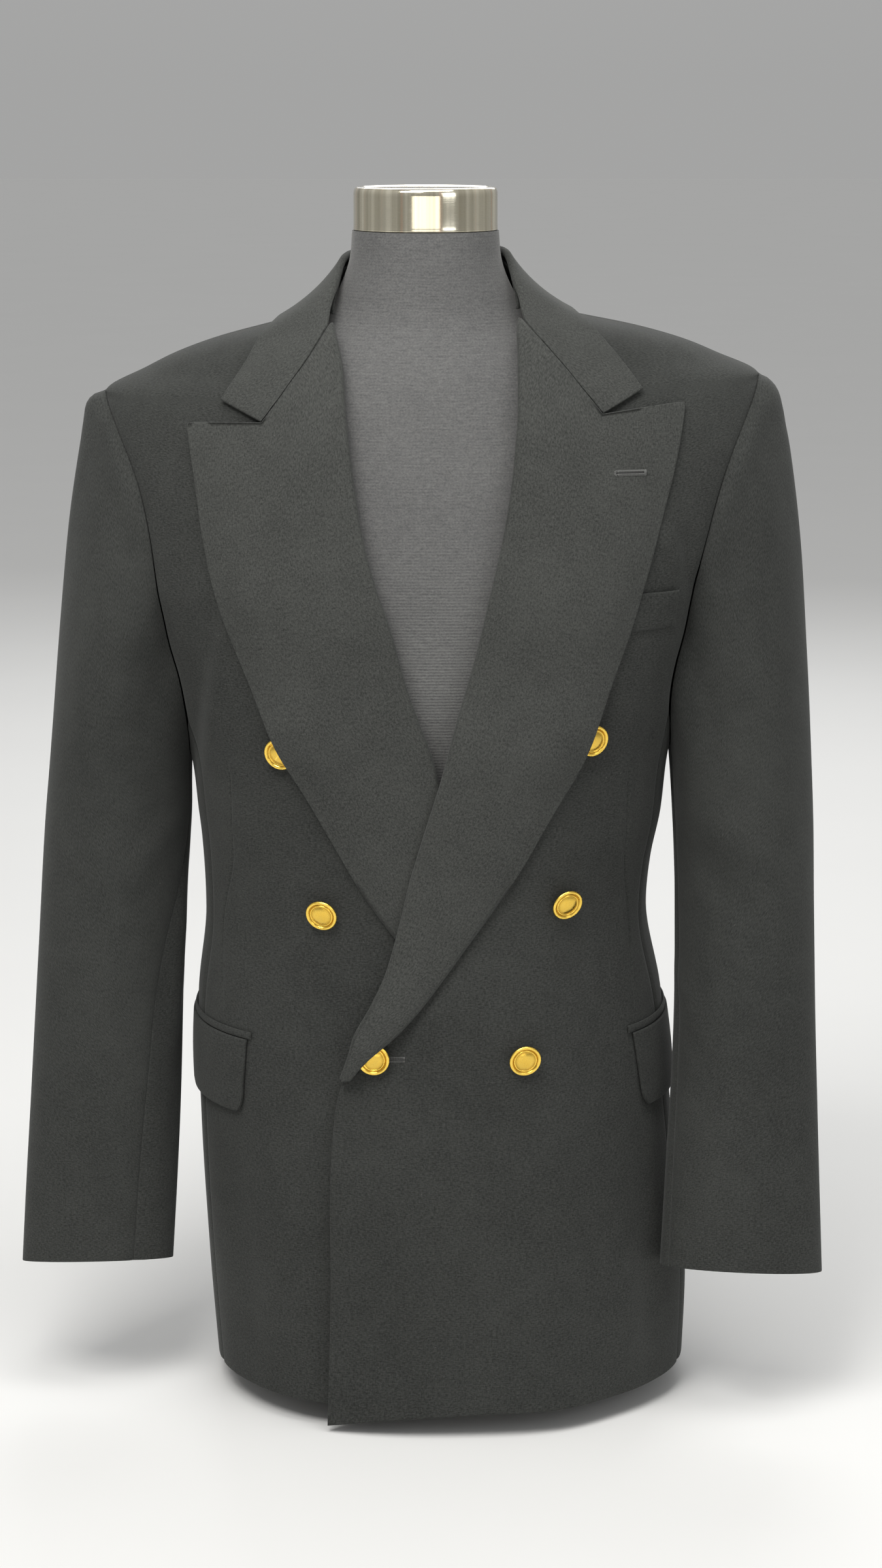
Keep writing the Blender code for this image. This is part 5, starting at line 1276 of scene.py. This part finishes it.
# ---------------------------------------------------------------- materials
class Nodes:
    """Adds shader nodes to a material or a world, and feeds their inputs."""

    def __init__(self, made, shader="Principled BSDF"):
        self.made = made
        made.use_nodes = True
        self.tree = made.node_tree
        self.shader = self.tree.nodes[shader]

    def feed(self, socket, value):
        """Gives an input a number, a vector, a colour or another node's output."""
        if isinstance(value, bpy.types.NodeSocket):
            self.tree.links.new(value, socket)
        else:
            socket.default_value = (*value, 1.0) if socket.type == "RGBA" else value

    def shade(self, **values):
        """Feeds the shader's inputs, whose names have _ for each space."""
        for name, value in values.items():
            self.feed(self.shader.inputs[name.replace("_", " ")], value)

    def node(self, kind, feeds, output=0, **settings):
        made = self.tree.nodes.new("ShaderNode" + kind)
        for key, value in settings.items():
            setattr(made, key, value)
        for socket, value in feeds.items():
            self.feed(made.inputs[socket], value)
        return made.outputs[output]

    def place(self):
        return self.node("TexCoord", {}, "Object")

    def part(self, vector, axis):
        return self.node("SeparateXYZ", {0: vector}, axis)

    def scaled(self, vector, scale):
        return self.node("VectorMath", {0: vector, 1: scale}, operation="MULTIPLY")

    def noise(self, vector, scale, detail=3.0, roughness=0.5):
        feeds = {"Vector": vector, "Scale": scale, "Detail": detail, "Roughness": roughness}
        return self.node("TexNoise", feeds, "Fac")

    def wave(self, vector, scale, direction, distortion, detail, detail_scale):
        feeds = {"Vector": vector, "Scale": scale, "Distortion": distortion, "Detail": detail,
                 "Detail Scale": detail_scale}
        return self.node("TexWave", feeds, "Fac", wave_type="BANDS", bands_direction=direction,
                         wave_profile="SIN")

    def math(self, operation, first, second):
        return self.node("Math", {0: first, 1: second}, operation=operation)

    def total(self, *shares):
        """Sum of outputs, each times its weight."""
        total = None
        for output, weight in shares:
            share = self.math("MULTIPLY", output, weight)
            total = share if total is None else self.math("ADD", total, share)
        return total

    def ramp(self, value, low, high, start=0.0, end=1.0):
        feeds = {"Value": value, "From Min": low, "From Max": high, "To Min": start, "To Max": end}
        return self.node("MapRange", feeds)

    def mix(self, factor, first, second):
        return self.node("Mix", {0: factor, 6: first, 7: second}, 2, data_type="RGBA")

    def bump(self, height, strength, distance, normal=None):
        feeds = {"Strength": strength, "Distance": distance, "Height": height}
        if normal is not None:
            feeds["Normal"] = normal
        return self.node("Bump", feeds)


def new_material(name):
    return Nodes(bpy.data.materials.new(name))


def wool(name, deep, light, across, along):
    """Fine worsted: uneven threads both ways, soft mottling, a faint nap and a little lint."""
    n = new_material(name)
    weave = n.node("Attribute", {}, "Vector", attribute_name="weave")
    warp = n.noise(n.scaled(weave, (across, along, 0.0)), 1.0, 2.5, 0.62)
    weft = n.noise(n.scaled(weave, (along, across, 0.0)), 1.0, 2.5, 0.62)
    crossing = n.math("MULTIPLY", n.wave(weave, 420.0, "X", 2.0, 2.0, 3.0),
                      n.wave(weave, 420.0, "Y", 2.0, 2.0, 3.0))
    threads = n.total((warp, 0.60), (weft, 0.40))
    place_at = n.place()
    mottle = n.noise(place_at, 60.0, 4.0, 0.6)
    cloud = n.noise(place_at, 9.0, 2.0, 0.5)
    tone = n.total((threads, 0.95), (crossing, 0.10), (mottle, 0.12), (cloud, 0.14))
    colour = n.mix(n.ramp(tone, 0.50, 0.78), deep, light)
    lint = n.noise(place_at, 420.0, 1.0, 0.5)
    colour = n.mix(n.ramp(lint, 0.80, 0.84, 0.0, 0.6), colour, (0.10, 0.10, 0.095))
    fine = n.bump(threads, 0.60, 0.00030)
    n.shade(Base_Color=colour, Roughness=n.ramp(threads, 0.3, 0.7, 0.84, 0.96), Sheen_Weight=0.07,
            Sheen_Roughness=0.5, Sheen_Tint=(0.80, 0.82, 0.80), Specular_IOR_Level=0.16,
            Normal=n.bump(mottle, 0.15, 0.0008, fine))
    return n.made


def jersey_knit(name):
    """Grey jersey: fine knitted grain, with clearer horizontal courses lower on the chest."""
    n = new_material(name)
    place_at = n.place()
    courses = n.wave(place_at, 150.0, "Z", 1.6, 2.0, 2.2)
    grain = n.noise(n.scaled(place_at, (760.0, 760.0, 900.0)), 1.0, 3.0, 0.62)
    long_grain = n.noise(n.scaled(place_at, (120.0, 120.0, 900.0)), 1.0, 2.0, 0.6)
    cloud = n.noise(place_at, 14.0, 3.0, 0.55)
    low = n.ramp(n.part(place_at, 2), 0.66, 0.54, 0.05, 0.30)
    tone = n.total((courses, low), (grain, 0.75), (long_grain, 0.30), (cloud, 0.14))
    n.shade(Base_Color=n.mix(n.ramp(tone, 0.45, 1.05), (0.060, 0.060, 0.061), (0.165, 0.165, 0.160)),
            Roughness=n.ramp(grain, 0.3, 0.7, 0.80, 0.95), Sheen_Weight=0.22, Sheen_Roughness=0.45,
            Sheen_Tint=(0.88, 0.88, 0.86), Specular_IOR_Level=0.25,
            Normal=n.bump(n.total((courses, low), (grain, 0.8)), 0.55, 0.00035))
    return n.made


def gold_plate(name):
    """Polished gold plate, darker in its grooves, with fine handling marks."""
    n = new_material(name)
    place_at = n.place()
    marks = n.noise(place_at, 900.0, 4.0, 0.7)
    cloud = n.noise(place_at, 240.0, 3.0, 0.6)
    hollow = n.node("NewGeometry", {}, "Pointiness")
    colour = n.mix(n.ramp(hollow, 0.44, 0.54), (0.36, 0.19, 0.02), (0.98, 0.68, 0.13))
    colour = n.mix(n.ramp(cloud, 0.35, 0.7, 0.0, 0.35), colour, (0.86, 0.52, 0.06))
    n.shade(Base_Color=colour, Roughness=n.ramp(marks, 0.3, 0.75, 0.16, 0.34), Metallic=1.0,
            Normal=n.bump(cloud, 0.30, 0.0003))
    return n.made


def polished_metal(name):
    """Polished cap: its champagne tone with painted reflections as light and dark bands and warm streaks
    round it, fine rings and smudges.
    """
    n = new_material(name)
    place_at = n.place()
    turn = n.math("ARCTAN2", n.part(place_at, 0), n.math("MULTIPLY", n.part(place_at, 1), -1.0))
    around = n.node("CombineXYZ", {0: turn})
    # painted reflection: light and dark bands round the cap, and warm streaks, stand in for the studio
    # mirrored in it
    painted_reflection_bands = n.noise(around, 4.6, 3.0, 0.55)
    painted_warm_reflection = n.noise(around, 7.5, 1.0, 0.5)
    rings = n.noise(n.scaled(place_at, (20.0, 20.0, 2600.0)), 1.0, 3.0, 0.6)
    smudge = n.noise(place_at, 60.0, 4.0, 0.6)
    # painted reflection mixed into the cap's colour: dark grey to light champagne by the bands, warmer in the
    # streaks
    colour = n.mix(n.ramp(painted_reflection_bands, 0.36, 0.62), (0.44, 0.40, 0.29), (0.93, 0.87, 0.70))
    colour = n.mix(n.ramp(painted_warm_reflection, 0.60, 0.70, 0.0, 0.5), colour, (0.86, 0.52, 0.34))
    colour = n.mix(n.ramp(smudge, 0.4, 0.7, 0.0, 0.25), colour, (0.62, 0.60, 0.52))
    n.shade(Base_Color=colour, Roughness=n.total((rings, 0.08), (smudge, 0.12)), Metallic=1.0,
            Normal=n.bump(rings, 0.05, 0.0002))
    return n.made


def sewing_thread(name, colour):
    n = new_material(name)
    strands = n.noise(n.place(), 2600.0, 2.0, 0.6)
    n.shade(Base_Color=n.mix(n.ramp(strands, 0.3, 0.7), tuple(0.6 * c for c in colour), colour),
            Roughness=0.62, Sheen_Weight=0.2, Normal=n.bump(strands, 0.4, 0.0001))
    return n.made


# ---------------------------------------------------------------- studio
CAMERA_PLACE = (0.011, -2.40, 0.961)
CAMERA_DOWN = math.radians(12.0)
CAMERA_LENS, CAMERA_SENSOR = 76.5, 36.0  # millimetres, sensor on the long side
FLOOR_SIDE, FLOOR_DROP = 60.0, 0.0004
FLOOR_LOW, FLOOR_HIGH = (0.715, 0.715, 0.705), (0.725, 0.725, 0.715)
Lamp = namedtuple("Lamp", "name place aim width height power colour")
LAMPS = table_of(Lamp,
    ("key", (-0.75, -1.55, 2.45), (0.0, 0.0, 0.62), 1.3, 0.9, 46.0, (1.0, 0.985, 0.96)),
    ("fill", (2.2, -2.8, 1.7), (0.0, 0.0, 0.50), 1.4, 1.6, 14.0, (0.97, 0.985, 1.0)),
    ("top", (0.25, -0.75, 2.5), (0.0, 0.0, 0.70), 1.5, 0.9, 26.0, (1.0, 0.99, 0.97)),
    ("back", (0.3, 2.8, 2.2), (0.0, 0.0, 0.55), 2.0, 1.4, 34.0, (1.0, 1.0, 1.0)),
    ("card", (0.10, -7.0, 0.70), (0.0, 0.0, 0.70), 5.6, 1.5, 44.0, (1.0, 0.96, 0.86)),
)
SKY_LOW, SKY_HIGH = (0.60, 0.60, 0.595), (0.84, 0.84, 0.84)
SKY_BAND = 0.5           # upward share of the view over which the sky brightens
SKY_STRENGTH = 0.62


def make_stage():
    n = new_material("pale floor")
    grain = n.noise(n.place(), 3.0, 4.0, 0.6)
    n.shade(Base_Color=n.mix(n.ramp(grain, 0.3, 0.7), FLOOR_LOW, FLOOR_HIGH), Roughness=0.75,
            Specular_IOR_Level=0.3)
    half = 0.5 * FLOOR_SIDE
    corners = [(x, y, -FLOOR_DROP) for x, y in ((-half, -half), (half, -half), (half, half), (-half, half))]
    add_mesh("floor", corners, [(0, 1, 2, 3)], n.made, smooth=False)


def make_lights():
    for lamp in LAMPS:
        data = bpy.data.lights.new(lamp.name, "AREA")
        data.shape = "RECTANGLE"
        data.size, data.size_y = lamp.width, lamp.height
        data.energy = lamp.power
        data.color = lamp.colour
        light = bpy.data.objects.new(lamp.name, data)
        bpy.context.collection.objects.link(light)
        light.location = lamp.place
        way = Vector(lamp.aim) - Vector(lamp.place)
        light.rotation_euler = way.to_track_quat("-Z", "Y").to_euler()
    world = bpy.data.worlds.new("studio")
    n = Nodes(world, "Background")
    upward = n.part(n.node("TexCoord", {}, "Generated"), 2)
    n.shade(Color=n.mix(n.ramp(upward, 0.0, SKY_BAND), SKY_LOW, SKY_HIGH), Strength=SKY_STRENGTH)
    bpy.context.scene.world = world
    bpy.context.scene.view_settings.view_transform = "Standard"


def make_camera():
    data = bpy.data.cameras.new("camera")
    data.sensor_width = CAMERA_SENSOR
    data.lens = CAMERA_LENS
    camera = bpy.data.objects.new("camera", data)
    bpy.context.collection.objects.link(camera)
    camera.location = CAMERA_PLACE
    camera.rotation_euler = (math.pi / 2 - CAMERA_DOWN, 0.0, 0.0)
    bpy.context.scene.camera = camera


# ---------------------------------------------------------------- all together
def make_blazer():
    cloth = wool("charcoal worsted", (0.0150, 0.0159, 0.0149), (0.0470, 0.0490, 0.0460), 420.0, 980.0)
    # the facing is the same worsted with its grain turned, and painted lighter: painted light, for lapels and
    # collar that face up into the light
    facing = wool("charcoal worsted facing", (0.0225, 0.0236, 0.0221), (0.0620, 0.0642, 0.0602),
                  980.0, 460.0)
    thread = sewing_thread("charcoal thread", (0.095, 0.097, 0.092))
    dark = sewing_thread("slit shadow", (0.006, 0.006, 0.006))
    gold = gold_plate("gold plate")
    for side in SIDE_SIGN:
        make_front(side, cloth)
        make_side(side, cloth)
        make_back(side, cloth)
        make_sleeve(side, cloth)
        make_lapel(side, facing)
        make_pocket(side, cloth)
    make_collar_fall(facing)
    make_collar_stand(cloth)
    make_welt(cloth)
    for button in BUTTONS:
        make_button(button, gold, thread)
    for hole in BUTTONHOLES:
        make_buttonhole(hole, thread, dark)


make_camera()
make_lights()
make_stage()
make_blazer()
make_form(jersey_knit("grey jersey"), polished_metal("polished cap"))
